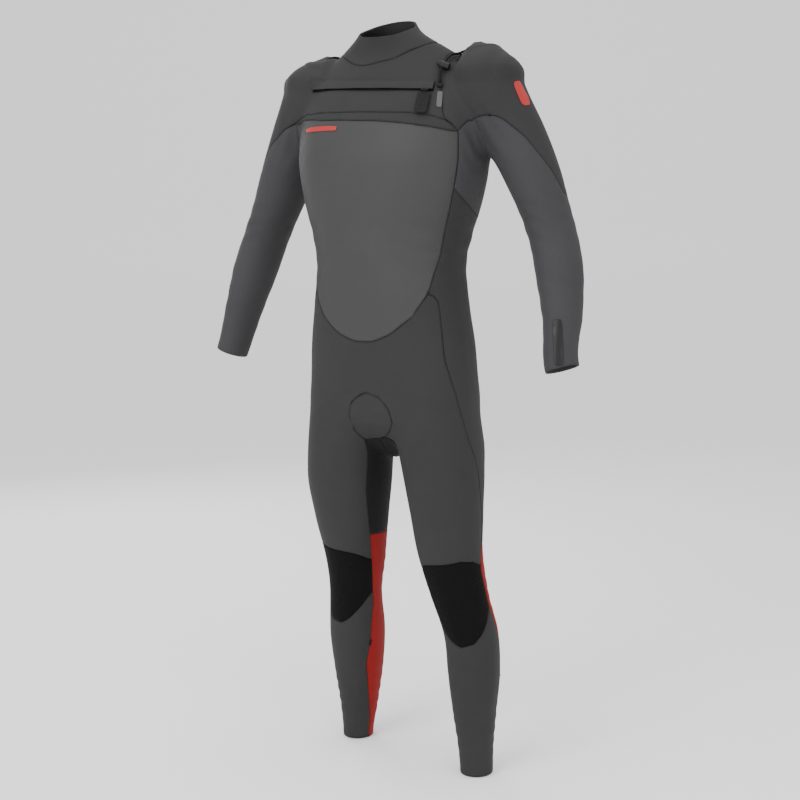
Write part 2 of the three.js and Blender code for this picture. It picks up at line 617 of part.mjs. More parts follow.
// ---------------------------------------------------------------- panels of the suit
const suit = shell(0, WALL);
const slot = zipBar(-ZIP_TO_RIGHT, ZIP_TO_LEFT,
  rectangle(-SLOT_DEPTH, WALL, -SLOT_WIDTH / 2, SLOT_WIDTH / 2), 14);
const top = panels(suit, [seams.collar], { collar: [0, -58, 1412], rest: [0, -104, 1200] });
const halves = panels(top.rest, [seams.yoke], { yoke: [0, 100, 1350], lower: [0, -120, 1100] });
const shoulders = panels(
  halves.yoke.subtract(slot),
  [seams.flapEdge, seams.shoulderLeft, seams.shoulderRight, seams.backLeft, seams.backRight, seams.band],
  {
    front_yoke: [0, -70, 1365],
    left_shoulder: [220, 10, 1370],
    upper_back: [0, 100, 1350],
    chest_band: [20, -106, 1281],
  },
);
const sleeves = panels(halves.lower, [bySide.left.armhole, bySide.right.armhole], {
  left_sleeve: [350, 0, 1000], right_sleeve: [-350, 0, 1000], trunk: [0, -120, 1100],
});
const front = panels(sleeves.trunk, [seams.chest], { chest_panel: [0, -120, 1100], rest: [0, -120, 820] });
const fork = panels(front.rest, [gussetSeam], { gusset: [0, -100, 720], rest: [0, -120, 820] });
const rear = panels(fork.rest, [seams.back], { back_panel: [0, 110, 1100], rest: [0, -120, 820] });
const sides = panels(rear.rest, [bySide.left.sidePanel, bySide.right.sidePanel], {
  left_side_panel: [190, 20, 1160], right_side_panel: [-190, 20, 1160], rest: [0, -120, 820],
});
const bothSides = (key) => [bySide.left[key], bySide.right[key]];
const long = panels(sides.rest, [...bothSides("outer"), ...bothSides("inner")], {
  front: [0, -120, 820], behind: [0, 130, 720],
});
const frontLegs = panels(long.front, [...bothSides("kneeTop"), ...bothSides("kneeLow")], {
  front_body: [0, -120, 820],
  left_knee_pad: legSpot("left", -80, 350),
  right_knee_pad: legSpot("right", -80, 350),
  left_shin: legSpot("left", -90, 120),
  right_shin: legSpot("right", -90, 120),
});
const backLegs = panels(long.behind, bothSides("redTop"), {
  thighs: [0, 130, 720],
  left_calf_panel: legSpot("left", 110, 200),
  right_calf_panel: legSpot("right", 110, 200),
});
const seat = panels(backLegs.thighs, [...bothSides("innerBack"), crotchSeam], {
  seat_panel: [0, 130, 720],
  left_inner_thigh: legSpot("left", 180, 540),
  right_inner_thigh: legSpot("right", 180, 540),
});

// ---------------------------------------------------------------- strips that follow the body
// A strip runs along a centre line on the body, between two heights off the neoprene's outside.
function strip(points, halfWidth, low, high, across = 2, step = 12) {
  const curve = new THREE.CatmullRomCurve3(points, false, "centripetal");
  const count = Math.max(2, Math.round(curve.getLength() / SEAM_STEP));
  const centres = curve.getSpacedPoints(count).map(onBody);
  const rings = centres.map((p, i) => {
    const ahead = centres[Math.min(i + 1, count)].clone().sub(centres[Math.max(i - 1, 0)]);
    const side = new THREE.Vector3().crossVectors(ahead, bodyNormal(p)).normalize();
    const half = typeof halfWidth === "function" ? halfWidth(i / count) : halfWidth;
    const places = spread(-half, half, across).map((d) => onBody(p.clone().addScaledVector(side, d)));
    const lift = (h) => places.map((q) => q.clone().addScaledVector(bodyNormal(q), h));
    return [...lift(low), ...lift(high).reverse()];
  });
  return ringSolid(rings);
}
const rounded = (half, length) => (t) => {
  const fromEnd = Math.min(t, 1 - t) * length;
  return fromEnd >= half ? half : Math.max(Math.sqrt(half ** 2 - (half - fromEnd) ** 2), half * 0.35);
};
const onNeoprene = (thickness) => [STRIP_LIFT, STRIP_LIFT + thickness];

const CHEST_BADGE = { from: [-146, -88, 1262], to: [-60, -113, 1262], half: 6 };
const SHOULDER_BADGE = { from: [262, 8, 1343], to: [284, 10, 1299], half: 13 };
const SLEEVE_LABEL = { from: [368, -35, 905], to: [380, -50, 822], half: 9 };
const badge = ({ from, to, half }) => {
  const ends = route([from, to]);
  return strip(ends, rounded(half, ends[0].distanceTo(ends[1])), ...onNeoprene(BADGE_THICKNESS), 2, 8);
};

const hangLoop = strip(route([[-22, 72, 1432], [0, 76, 1432], [22, 72, 1432]]), 5, ...onNeoprene(1.6));
const zipEndPatch = strip(route([[138, -62, 1326], [141, -72, 1294]]), 5, ...onNeoprene(1.2));

// ---------------------------------------------------------------- zip
const chainHalf = CHAIN_THICKNESS / 2;
const chainInner = BLADE_ROOM / 2;
const chainOuter = chainInner + CHAIN_WIDTH;
const chainFrom = -ZIP_TO_RIGHT + zipDegrees(4);
const chainTo = ZIP_TO_LEFT - zipDegrees(4);
const flipped = (section, sign) => section.map(([off, up]) => [off, up * sign]);
const chain = (sign) => zipBar(chainFrom, chainTo,
  flipped(rectangle(-2 * chainHalf, 0, chainInner, chainOuter), sign), 14);

// A tape leaves its chain and runs on under the neoprene. With some room all round it is what
// the neoprene makes way for, where it is thick.
function tape(sign, room = 0) {
  const slotEdge = SLOT_WIDTH / 2 - 2 * GAP;
  const half = TAPE_THICKNESS / 2 + room;
  const ends = room > 0 ? [[chainFrom - zipDegrees(room)], [chainTo + zipDegrees(room)]] : [[], []];
  const chainEdge = chainOuter + GAP;
  return ringSolid([...ends[0], ...spread(chainFrom, chainTo, 14), ...ends[1]].map((angle) => {
    const beside = (up) => zipSpot(angle, half - chainHalf, sign * up);
    const under = (up, off) => zipSpot(angle, skinOff(angle, sign * up, TAPE_DEPTH) + off, sign * up);
    const low = -TAPE_THICKNESS - room;
    const farEdge = slotEdge + TAPE_WIDTH + room;
    return [
      beside(chainEdge), under(chainEdge, low), under(farEdge, low), under(farEdge, room),
      under(slotEdge, room), beside(slotEdge),
    ];
  }));
}
const largest = (made) => made.decompose().reduce((a, b) => (a.volume() > b.volume() ? a : b));
const frontYoke = largest(
  shoulders.front_yoke.subtract(tape(1, TAPE_ROOM)).subtract(tape(-1, TAPE_ROOM)),
);

// Two plates joined by a blade. The outer plate runs on below the slot, over the neoprene, and
// holds the strap's pin between two lugs.
const plateNear = GAP;
const plateFar = plateNear + SLIDER_PLATE;
const innerPlate = -CHAIN_THICKNESS - GAP;
const halfSlider = SLIDER_WIDTH / 2;
const tongueNear = FACET + GAP / 2;
const tongueFar = tongueNear + 1;
const tongueEnd = -FLAP_BELOW - 5.2;
const halfPin = PIN_DIAMETER / 2;
const knuckleRadius = halfPin + GAP + 1.1;
const pinOff = tongueFar + knuckleRadius + GAP;
const pinUp = tongueEnd + 1.6;
const sliderFrom = SLIDER_AT - zipDegrees(SLIDER_LENGTH / 2);
const sliderTo = SLIDER_AT + zipDegrees(SLIDER_LENGTH / 2);
const circle = (radius, off, up, sides = 10) => spread(0, sides - 1, sides - 1).map((k) => {
  const turn = (2 * Math.PI * k) / sides;
  return [off + radius * Math.cos(turn), up + radius * Math.sin(turn)];
});
// Pin, bore and knuckle are straight, along the tangent at the slider's middle.
const straightBar = (length, section) => ringSolid([-length / 2, length / 2].map((along) =>
  section.map(([off, up]) => zipSpot(SLIDER_AT, off, up).addScaledVector(zipTangent, along))));
const pinBore = straightBar(SLIDER_LENGTH * 2, circle(halfPin + GAP / 2, pinOff, pinUp));

function makeSlider() {
  const outer = zipBar(sliderFrom, sliderTo, [
    [plateNear, halfSlider], [plateNear, -halfSlider], [tongueNear, -halfSlider - 2],
    [tongueNear, tongueEnd], [tongueFar, tongueEnd], [tongueFar, -halfSlider - 1.6],
    [plateFar, -halfSlider + 0.6], [plateFar, halfSlider],
  ], 1);
  const inner = zipBar(sliderFrom, sliderTo,
    rectangle(innerPlate - SLIDER_PLATE, innerPlate, -halfSlider, halfSlider), 1);
  const blade = zipBar(sliderTo - zipDegrees(4), sliderTo,
    rectangle(innerPlate - 0.2, plateNear + 0.2, -chainInner + GAP, chainInner - GAP), 1);
  const lugSection = rectangle(tongueFar - 0.2, pinOff + halfPin + 1, tongueEnd, pinUp + 1.6);
  const lugs = [sliderFrom, sliderTo - zipDegrees(LUG_LENGTH)].map((from) =>
    zipBar(from, from + zipDegrees(LUG_LENGTH), lugSection, 1));
  return lugs.reduce((sum, lug) => sum.add(lug), outer.add(inner).add(blade)).subtract(pinBore);
}
const makePin = () => straightBar(SLIDER_LENGTH, circle(halfPin, pinOff, pinUp));

// The pull strap hangs from a knuckle on the pin and lies just off the chest.
function makeStrap() {
  const knuckleLength = SLIDER_LENGTH - 2 * (LUG_LENGTH + GAP);
  const strapTop = tongueEnd - 1.2;
  const near = STRAP_LIFT;
  const far = near + STRAP_THICKNESS;
  const slab = straightBar(STRAP_WIDTH, rectangle(near, far, strapTop - STRAP_LENGTH, strapTop));
  const neck = straightBar(knuckleLength, [
    [pinOff - knuckleRadius + 0.3, pinUp], [pinOff, pinUp], [far, strapTop - 2], [near, strapTop - 2],
    [near, strapTop],
  ]);
  const knuckle = straightBar(knuckleLength, circle(knuckleRadius, pinOff, pinUp, 12));
  return slab.add(neck).add(knuckle).subtract(pinBore);
}

// The cover flap is glued above the slot and hangs over the zip's whole chain.
function makeCoverFlap() {
  const clear = plateFar + 3.5 * GAP;
  const hinge = SLOT_WIDTH / 2 + 3;
  const rings = spread(-ZIP_TO_RIGHT - 0.3, ZIP_TO_LEFT + 0.1, 16).map((angle) => {
    const under = (up) => {
      const rest = skinOff(angle, up) + 1.5 * STRIP_LIFT;
      return up < hinge ? Math.max(rest, clear) : rest;
    };
    const marks = [-FLAP_BELOW, SLOT_WIDTH / 2 - 1, hinge, FLAP_ABOVE];
    return [
      ...marks.map((up) => zipSpot(angle, under(up), up)),
      ...marks.reverse().map((up) => zipSpot(angle, under(up) + FLAP_THICKNESS, up)),
    ];
  });
  return ringSolid(rings);
}

// ---------------------------------------------------------------- neck cord and its lock
// The cord's middle line: on the neoprene, how far off it, in the order it runs down.
const CORD_ROUTE = [
  [[152, 30, 1404], 3.2], [[150, 14, 1408], 3.6], [[144, 0, 1404], 4.6], [[137, -12, 1396], 6.4],
  [[132, -22, 1386], 7.8], [[130, -32, 1375], 8.2], [[129, -41, 1363], 8.2], [[130, -48, 1351], 7.6],
  [[133, -54, 1340], 5.4],
];
const cordPoints = CORD_ROUTE.map(([spot, off]) => {
  const p = onBody(at(...spot));
  return p.addScaledVector(bodyNormal(p), off);
});
const cordCurve = new THREE.CatmullRomCurve3(cordPoints, false, "centripetal");
const round = (radius, sides) => {
  const shape = new THREE.Shape();
  shape.absarc(0, 0, radius, 0, 2 * Math.PI);
  return new THREE.Shape(shape.getPoints(sides).slice(0, sides));
};
const cordSolid = solid(new THREE.ExtrudeGeometry(round(CORD_DIAMETER / 2, 8), {
  steps: 14, bevelEnabled: false, extrudePath: cordCurve,
}));

// The lock's own axes: x along the barrel, y along the cord, z off the chest.
const LOCK_AT = 0.69; // share of the cord's length from the shoulder
const lockMiddle = cordCurve.getPointAt(LOCK_AT);
const lockY = cordCurve.getTangentAt(LOCK_AT);
const lockZ = bodyNormal(onBody(lockMiddle));
lockZ.addScaledVector(lockY, -lockZ.dot(lockY)).normalize();
const lockX = new THREE.Vector3().crossVectors(lockY, lockZ);
const lockFrame = new THREE.Matrix4().makeBasis(lockX, lockY, lockZ).setPosition(lockMiddle);
const CORD_FROM_END = 12.5; // the cord's bore from the barrel's closed end
const LOCK_END = 2.4; // thickness of the closed end

// A turned shape along the barrel: a closed profile of [radius, distance from the closed end].
function turned(profile, sides = 16) {
  const lathe = new THREE.LatheGeometry(profile.map(([r, h]) => new THREE.Vector2(r, h)), sides);
  return solid(lathe.rotateZ(-Math.PI / 2).translate(-CORD_FROM_END, 0, 0).applyMatrix4(lockFrame));
}
function crossBore(diameter, from, to) {
  const shape = new THREE.Shape();
  shape.absarc(to, 0, diameter / 2, -Math.PI / 2, Math.PI / 2);
  shape.absarc(from, 0, diameter / 2, Math.PI / 2, (3 * Math.PI) / 2);
  const hole = new THREE.ExtrudeGeometry(shape, { depth: 40, bevelEnabled: false, curveSegments: 5 });
  return solid(hole.translate(0, 0, -20).rotateX(-Math.PI / 2).applyMatrix4(lockFrame));
}
const lockRadius = LOCK_DIAMETER / 2;
const buttonRadius = BUTTON_DIAMETER / 2;
const cavityRadius = buttonRadius + GAP;
const springRoom = BUTTON_TRAVEL + 3.4;
const buttonFoot = LOCK_END + springRoom;
const BUTTON_PROUD = 4.6;
const lockBody = turned([
  [0, 0], [lockRadius - 1.5, 0], [lockRadius, 1.5], [lockRadius, LOCK_LENGTH - 1],
  [lockRadius - 1, LOCK_LENGTH], [cavityRadius, LOCK_LENGTH], [cavityRadius, LOCK_END], [0, LOCK_END],
]).subtract(crossBore(CORD_BORE, 0, 0));
const lockButton = turned([
  [0, buttonFoot], [buttonRadius, buttonFoot], [buttonRadius, LOCK_LENGTH + BUTTON_PROUD - 1.5],
  [buttonRadius - 1.5, LOCK_LENGTH + BUTTON_PROUD], [0, LOCK_LENGTH + BUTTON_PROUD],
]).subtract(crossBore(CORD_BORE, 0, BUTTON_TRAVEL));

class Helix extends THREE.Curve {
  constructor(radius, from, to, turns) {
    super();
    Object.assign(this, { radius, from, to, turns });
  }

  getPoint(t, target = new THREE.Vector3()) {
    const turn = 2 * Math.PI * this.turns * t;
    return target.set(this.from + (this.to - this.from) * t, this.radius * Math.cos(turn),
      this.radius * Math.sin(turn));
  }
}
const springHalf = SPRING_WIRE / 2;
const helix = new Helix(buttonRadius - 1, LOCK_END + springHalf + GAP, buttonFoot - springHalf - GAP, 3);
const springTube = new THREE.ExtrudeGeometry(round(springHalf, 6), {
  steps: 28, bevelEnabled: false, extrudePath: helix,
});
const lockSpring = solid(springTube.translate(-CORD_FROM_END, 0, 0).applyMatrix4(lockFrame));

// Webbing tabs hold the cord's two ends.
function cordTab(end, length) {
  const tip = cordCurve.getPointAt(end);
  const out = cordCurve.getTangentAt(end).multiplyScalar(end === 0 ? -1 : 1);
  const near = tip.clone().addScaledVector(out, GAP);
  const far = tip.clone().addScaledVector(out, length);
  return strip([near, far], 5, TAB_LIFT, TAB_LIFT + CORD_DIAMETER, 1, length);
}

// ---------------------------------------------------------------- the assembly
const group = new THREE.Group();
group.name = "wetsuit";
const pieces = new THREE.Group();
group.add(pieces);
function place(name, made, material) {
  const mesh = new THREE.Mesh(geometryOf(made), material());
  mesh.name = name;
  pieces.add(mesh);
}

[
  ["collar", top.collar, JERSEY_DARK],
  ["front_yoke", frontYoke, JERSEY_DARK],
  ["left_shoulder", shoulders.left_shoulder, JERSEY_DARK],
  ["upper_back", shoulders.upper_back, JERSEY_DARK],
  ["chest_band", shoulders.chest_band, JERSEY_DARK],
  ["left_sleeve", sleeves.left_sleeve, JERSEY_LIGHT],
  ["right_sleeve", sleeves.right_sleeve, JERSEY_LIGHT],
  ["chest_panel", front.chest_panel, SMOOTH_SKIN],
  ["back_panel", rear.back_panel, SMOOTH_SKIN],
  ["left_side_panel", sides.left_side_panel, JERSEY_LIGHT],
  ["right_side_panel", sides.right_side_panel, JERSEY_LIGHT],
  ["front_body", frontLegs.front_body, JERSEY_DARK],
  ["seat_panel", seat.seat_panel, JERSEY_DARK],
  ["crotch_gusset", fork.gusset, JERSEY_DARK],
  ["left_inner_thigh", seat.left_inner_thigh, JERSEY_BLACK],
  ["right_inner_thigh", seat.right_inner_thigh, JERSEY_BLACK],
  ["left_knee_pad", frontLegs.left_knee_pad, KNEE_RUBBER],
  ["right_knee_pad", frontLegs.right_knee_pad, KNEE_RUBBER],
  ["left_shin", frontLegs.left_shin, JERSEY_DARK],
  ["right_shin", frontLegs.right_shin, JERSEY_DARK],
  ["left_calf_panel", backLegs.left_calf_panel, JERSEY_RED],
  ["right_calf_panel", backLegs.right_calf_panel, JERSEY_RED],
  ["zip_chain_upper", chain(1), BLACK_PLASTIC],
  ["zip_chain_lower", chain(-1), BLACK_PLASTIC],
  ["zip_tape_upper", tape(1), WEBBING],
  ["zip_tape_lower", tape(-1), WEBBING],
  ["zip_slider", makeSlider(), BLACK_PLASTIC],
  ["zip_slider_pin", makePin(), STEEL],
  ["zip_pull_strap", makeStrap(), WEBBING],
  ["zip_cover_flap", makeCoverFlap(), JERSEY_DARK],
  ["zip_end_patch", zipEndPatch, WEBBING],
  ["neck_cord", cordSolid, WEBBING],
  ["cord_tab_shoulder", cordTab(0, 12), WEBBING],
  ["cord_tab_chest", cordTab(1, 9), WEBBING],
  ["cord_lock_body", lockBody, BLACK_PLASTIC],
  ["cord_lock_button", lockButton, BLACK_PLASTIC],
  ["cord_lock_spring", lockSpring, STEEL],
  ["hang_loop", hangLoop, WEBBING],
  ["chest_badge", badge(CHEST_BADGE), PRINT_RED],
  ["shoulder_badge", badge(SHOULDER_BADGE), PRINT_RED],
  ["sleeve_label", badge(SLEEVE_LABEL), BLACK_PLASTIC],
].forEach((piece) => place(...piece));

// The origin lies under the middle of the whole suit, on the plane of the ankle hems.
const bounds = new THREE.Box3().setFromObject(pieces);
const centre = bounds.getCenter(new THREE.Vector3());
pieces.position.set(-centre.x, -centre.y, -bounds.min.z);

export default group;
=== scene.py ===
"""A chest-zip full wetsuit in its worn shape: neoprene panels, hems, zip, cord and badges."""

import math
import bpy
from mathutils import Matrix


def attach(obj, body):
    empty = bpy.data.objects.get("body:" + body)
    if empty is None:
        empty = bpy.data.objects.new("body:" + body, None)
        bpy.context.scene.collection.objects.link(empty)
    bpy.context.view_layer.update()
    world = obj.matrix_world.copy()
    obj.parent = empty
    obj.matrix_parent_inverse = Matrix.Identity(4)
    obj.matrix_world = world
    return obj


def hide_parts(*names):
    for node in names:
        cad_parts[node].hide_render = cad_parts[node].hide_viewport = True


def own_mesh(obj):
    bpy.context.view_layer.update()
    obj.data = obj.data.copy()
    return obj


bl_info = {
    "name": "Full wetsuit",
    "version": (1, 0, 0),
    "blender": (4, 5, 0),
    "location": "View3D > Sidebar > Wetsuit",
    "description": "Builds a panelled full wetsuit with its chest zip, cord lock and stage",
    "category": "Object",
}

import bpy
import numpy as np
from mathutils import Vector

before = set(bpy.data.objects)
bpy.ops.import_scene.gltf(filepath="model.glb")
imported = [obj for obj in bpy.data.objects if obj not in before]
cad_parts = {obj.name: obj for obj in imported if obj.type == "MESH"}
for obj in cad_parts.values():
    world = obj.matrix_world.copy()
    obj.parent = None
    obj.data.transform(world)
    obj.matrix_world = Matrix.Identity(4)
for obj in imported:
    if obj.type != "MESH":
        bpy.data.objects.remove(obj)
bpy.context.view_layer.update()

MM = 0.001
# The suit's own drawing has its middle here in the row frame.
SHIFT = np.array([3.8582, -2.0, 0.0]) * MM

# ------------------------------------------------------------------ the body inside the suit
# One row for each station: distance along the limb, centre across and in depth, half width
# outwards and inwards, half depth to the front and to the back, and how square the section is.
TORSO = [
    (628, 0, 15, 28, 28, 30, 40, 2), (655, 0, 10, 85, 85, 55, 75, 2), (700, 0, 0, 152, 152, 92, 110, 2.2),
    (760, 0, 0, 174, 174, 104, 120, 2.3), (840, 0, 0, 172, 172, 112, 108, 2.3),
    (920, 0, 0, 162, 162, 118, 88, 2.3), (1000, 0, 0, 154, 154, 120, 84, 2.3),
    (1060, 0, 0, 162, 162, 120, 104, 2.4), (1120, 0, 0, 178, 178, 124, 122, 2.5),
    (1190, 0, 0, 192, 192, 126, 130, 2.5), (1260, 0, 5, 194, 194, 118, 118, 2.5),
    (1320, 0, 12, 186, 186, 98, 100, 2.4), (1360, 0, 16, 170, 170, 80, 88, 2.3),
    (1395, 0, 16, 140, 140, 66, 76, 2.2), (1420, 0, 8, 102, 102, 60, 68, 2.1),
    (1442, 0, -4, 68, 68, 58, 60, 2), (1530, 0, -22, 60, 60, 56, 56, 2),
]
ARM = [
    (-0.13, 30, 30, 35, 35), (-0.06, 56, 50, 62, 62), (0.05, 63, 55, 68, 69), (0.18, 59, 55, 64, 64),
    (0.32, 52, 52, 60, 59), (0.47, 45, 46, 54, 51), (0.54, 45, 44, 53, 50), (0.66, 46, 43, 54, 47),
    (0.82, 40, 36, 46, 39), (1, 33, 30, 39, 34), (1.12, 33, 30, 39, 34),
]
ARM_JOINTS = {
    "left": ((198, 22, 1330), (320, 40, 1073), (372, -18, 812)),
    "right": ((-196, 22, 1320), (-325, 42, 1073), (-380, -18, 816)),
}
LEFT_LEG = [
    (-50, 187, 8, 32, 32, 34, 37, 2), (0, 187, 8, 32, 32, 34, 37, 2), (50, 185, 8, 34, 34, 37, 41, 2),
    (120, 181, 8, 42, 41, 45, 53, 2), (200, 178, 8, 50, 49, 52, 68, 2), (280, 173, 3, 53, 50, 56, 68, 2),
    (360, 153, -5, 58, 56, 60, 60, 2), (440, 136, -10, 64, 64, 66, 64, 2),
    (520, 129, -12, 71, 72, 74, 74, 2), (600, 118, -8, 79, 78, 82, 86, 2.1),
    (660, 105, 0, 84, 82, 88, 96, 2.1), (740, 90, 0, 84, 80, 86, 102, 2.1), (820, 80, 0, 70, 60, 70, 80, 2),
]
RIGHT_LEG = [
    (-50, -131, 76, 31, 31, 33, 36, 2), (0, -131, 76, 31, 31, 33, 36, 2), (68, -125, 70, 38, 38, 40, 44, 2),
    (155, -121, 60, 49, 49, 50, 64, 2), (240, -117, 48, 55, 55, 56, 72, 2),
    (326, -107, 30, 53, 53, 56, 58, 2), (410, -100, 18, 62, 62, 66, 64, 2),
    (495, -102, 8, 75, 76, 78, 78, 2), (580, -101, 2, 82, 86, 88, 90, 2.1),
    (660, -96, 0, 82, 86, 90, 98, 2.1), (740, -88, 0, 80, 84, 88, 104, 2.1),
    (820, -80, 0, 60, 70, 70, 80, 2),
]
GIRDLE = [
    (-232, 22, 1312, 40, 35, 40, 30, 2), (-205, 22, 1312, 70, 58, 60, 54, 2.2),
    (-150, 22, 1316, 78, 66, 64, 56, 2.3), (0, 22, 1318, 70, 70, 60, 50, 2.3),
    (150, 22, 1320, 78, 66, 64, 58, 2.3), (205, 22, 1318, 70, 58, 60, 56, 2.2),
    (232, 22, 1318, 40, 35, 40, 30, 2),
]
# How widely each limb's surface flows into the rest.
ARM_BLEND = 40 * MM
# How much wider the flow is over the top of the shoulders.
SHOULDER_FLOW = 80 * MM
LEG_BLEND = 30 * MM
GIRDLE_BLEND = 20 * MM
CROTCH_BLEND = 10 * MM
# Points farther than this from a limb take no shape from it.
CLEAR = 90 * MM


class Limb:
    """A lofted limb: superellipse sections on a cubic through the stations, along the axis w."""

    def __init__(self, origin, u, v, w, rows):
        self.origin = np.asarray(origin, float)
        self.axes = np.array([u, v, w], float)
        rows = np.array(rows, float)
        rows[:, :7] *= MM
        along, values = rows[:, 0], rows[:, 1:]
        gap = np.diff(along)[:, None]
        rise = np.diff(values, axis=0) / gap
        slope = np.empty_like(values)
        slope[0], slope[-1] = rise[0], rise[-1]
        slope[1:-1] = (rise[:-1] * gap[1:] + rise[1:] * gap[:-1]) / (gap[1:] + gap[:-1])
        slope[1:-1][rise[:-1] * rise[1:] <= 0] = 0
        self.start, self.end, self.step = along[0], along[-1], 1 * MM
        x = np.arange(self.start, self.end + self.step / 2, self.step)
        i = np.clip(np.searchsorted(along, x, side="right") - 1, 0, len(along) - 2)
        t = ((x - along[i]) / gap[i, 0])[:, None]
        a, b = slope[i] * gap[i], slope[i + 1] * gap[i]
        d = values[i + 1] - values[i]
        self.rows = values[i] + t * a + t**2 * (3 * d - 2 * a - b) + t**3 * (a + b - 2 * d)
        self.slopes = np.gradient(self.rows, x, axis=0)

    def sample(self, w, table):
        t = np.clip((w - self.start) / self.step, 0, len(table) - 1.001)
        i = t.astype(int)
        share = (t - i)[:, None]
        return table[i] * (1 - share) + table[i + 1] * share

    @staticmethod
    def reach(row, c, s):
        half = np.where(c > 0, row[:, 2], row[:, 3])
        depth = np.where(s < 0, row[:, 4], row[:, 5])
        power = row[:, 6]
        return ((np.abs(c) / half) ** power + (np.abs(s) / depth) ** power) ** (-1 / power)

    def distance(self, p):
        """Signed distance: how far past the section's reach, over the slope of the side there."""
        q = (p - self.origin) @ self.axes.T
        bulk = np.abs(self.rows[:, :2]).max(axis=0) + self.rows[:, 2:6].max()
        near = (np.abs(q[:, :2]) < bulk + CLEAR).all(axis=1)
        near &= (q[:, 2] > self.start - CLEAR) & (q[:, 2] < self.end + CLEAR)
        distance = np.full(len(p), 1.0)
        distance[near] = self.near_distance(q[near])
        return distance

    def near_distance(self, q):
        w = q[:, 2]
        row, slope = self.sample(w, self.rows), self.sample(w, self.slopes)
        du, dv = q[:, 0] - row[:, 0], q[:, 1] - row[:, 1]
        r = np.hypot(du, dv) + 1e-9
        c, s = du / r, dv / r
        reach = self.reach(row, c, s)
        lean = (self.reach(row + slope * MM, c, s) - reach) / MM + slope[:, 0] * c + slope[:, 1] * s
        beside = (r - reach) / np.sqrt(1 + lean**2)
        beyond = np.maximum(np.maximum(self.start - w, w - self.end), 0)
        outside = np.hypot(np.maximum(beside, 0), beyond) + np.minimum(beside, 0)
        return np.where(beyond > 0, outside, beside)


def arm_limb(side):
    """An arm whose sections lie across the line from shoulder to wrist and bow out to the elbow."""
    shoulder, elbow, wrist = np.array(ARM_JOINTS[side], float)
    w = wrist - shoulder
    length = np.linalg.norm(w)
    w /= length
    v = np.array([0, 1, 0]) - w[1] * w
    v /= np.linalg.norm(v)
    u = np.cross(v, w)
    if (u[0] > 0) != (side == "left"):
        u = -u
    bend = elbow - shoulder
    rows = []
    for share, *size in ARM:
        along = share * length
        part = along / (bend @ w) if along < bend @ w else (length - along) / (length - bend @ w)
        bow = math.sin(math.pi / 2 * min(1, max(0, part)))
        rows.append((along, bend @ u * bow, bend @ v * bow, *size, 2))
    return Limb(shoulder * MM + SHIFT, u, v, w, rows)


X, Y, Z = np.eye(3)
torso = Limb(SHIFT, X, Y, Z, TORSO)
girdle = Limb(SHIFT, Y, Z, X, GIRDLE)
arms = [arm_limb("left"), arm_limb("right")]
legs = [Limb(SHIFT, X, Y, Z, LEFT_LEG), Limb(SHIFT, X, Y, Z, RIGHT_LEG)]


def smooth_step(share):
    """Zero to one with level ends."""
    share = np.clip(share, 0, 1)
    return share * share * (3 - 2 * share)


def joined(a, b, width):
    """The smaller distance, rounded where the two lie within the width of each other."""
    near = np.maximum(width - np.abs(a - b), 0) / width
    return np.minimum(a, b) - near**3 * width / 6


def body_distance(p):
    """Distance outside the whole body, its limbs flowing into one another."""
    d = joined(torso.distance(p), girdle.distance(p), GIRDLE_BLEND)
    high = smooth_step((p[:, 2] - 1335 * MM) / (40 * MM))
    aside = smooth_step((np.abs(p[:, 0] - 20 * MM) - 130 * MM) / (30 * MM))
    for arm in arms:
        d = joined(d, arm.distance(p), ARM_BLEND + SHOULDER_FLOW * (high * aside))
    both = joined(legs[0].distance(p), legs[1].distance(p), CROTCH_BLEND)
    return joined(d, both, LEG_BLEND)


def limbs_distance(p):
    """Distance outside the nearest limb, with no rounding between them."""
    return np.min([limb.distance(p) for limb in [torso, girdle, *arms, *legs]], axis=0)


def outward(p, distance=body_distance):
    """The direction in which the distance grows."""
    e = 0.5 * MM
    slope = np.stack([distance(p + e * a) - distance(p - e * a) for a in (X, Y, Z)], axis=1)
    return slope / np.maximum(np.linalg.norm(slope, axis=1, keepdims=True), 1e-9)


def settle(p, height=0.0, steps=5):
    """Moves points along the body's own normal until they stand at the height off it."""
    p = np.array(p, float)
    for _ in range(steps):
        p -= ((body_distance(p) - height) * 0.9)[:, None] * outward(p)
    return p


# ------------------------------------------------------------------ soft folds of worn neoprene
# Each: centre, direction across the folds, reach along each axis, spacing, height. Millimetres.
FOLDS = [
    ((318, 8, 1080), (0.25, 0.1, 1), (45, 60, 42), 30, 1.3),
    ((-318, 8, 1080), (-0.25, 0.1, 1), (45, 60, 42), 30, 1.3),
    ((196, -30, 1236), (0.8, 0.1, 0.6), (44, 50, 50), 26, 1.5),
    ((-196, -30, 1236), (-0.8, 0.1, 0.6), (44, 50, 50), 26, 1.5),
    ((60, -70, 716), (0.55, 0.1, 0.85), (60, 60, 40), 27, 0.8),
    ((-60, -70, 716), (-0.55, 0.1, 0.85), (60, 60, 40), 27, 0.8),
    ((150, 60, 370), (0, 0.3, 1), (50, 50, 46), 26, 1.6),
    ((-105, 80, 390), (0, 0.3, 1), (50, 50, 46), 26, 1.6),
    ((182, 5, 90), (0.1, 0.1, 1), (60, 60, 46), 25, 1.0),
    ((-126, 66, 100), (-0.1, 0.1, 1), (60, 60, 46), 25, 1.0),
    ((140, -20, 1040), (0.15, 0, 1), (70, 80, 60), 40, 1.1),
    ((-140, -20, 1040), (-0.15, 0, 1), (70, 80, 60), 40, 1.1),
    ((350, 0, 940), (0.2, 0.2, 1), (50, 50, 70), 38, 0.7),
    ((-355, 0, 940), (-0.2, 0.2, 1), (50, 50, 70), 38, 0.7),
]


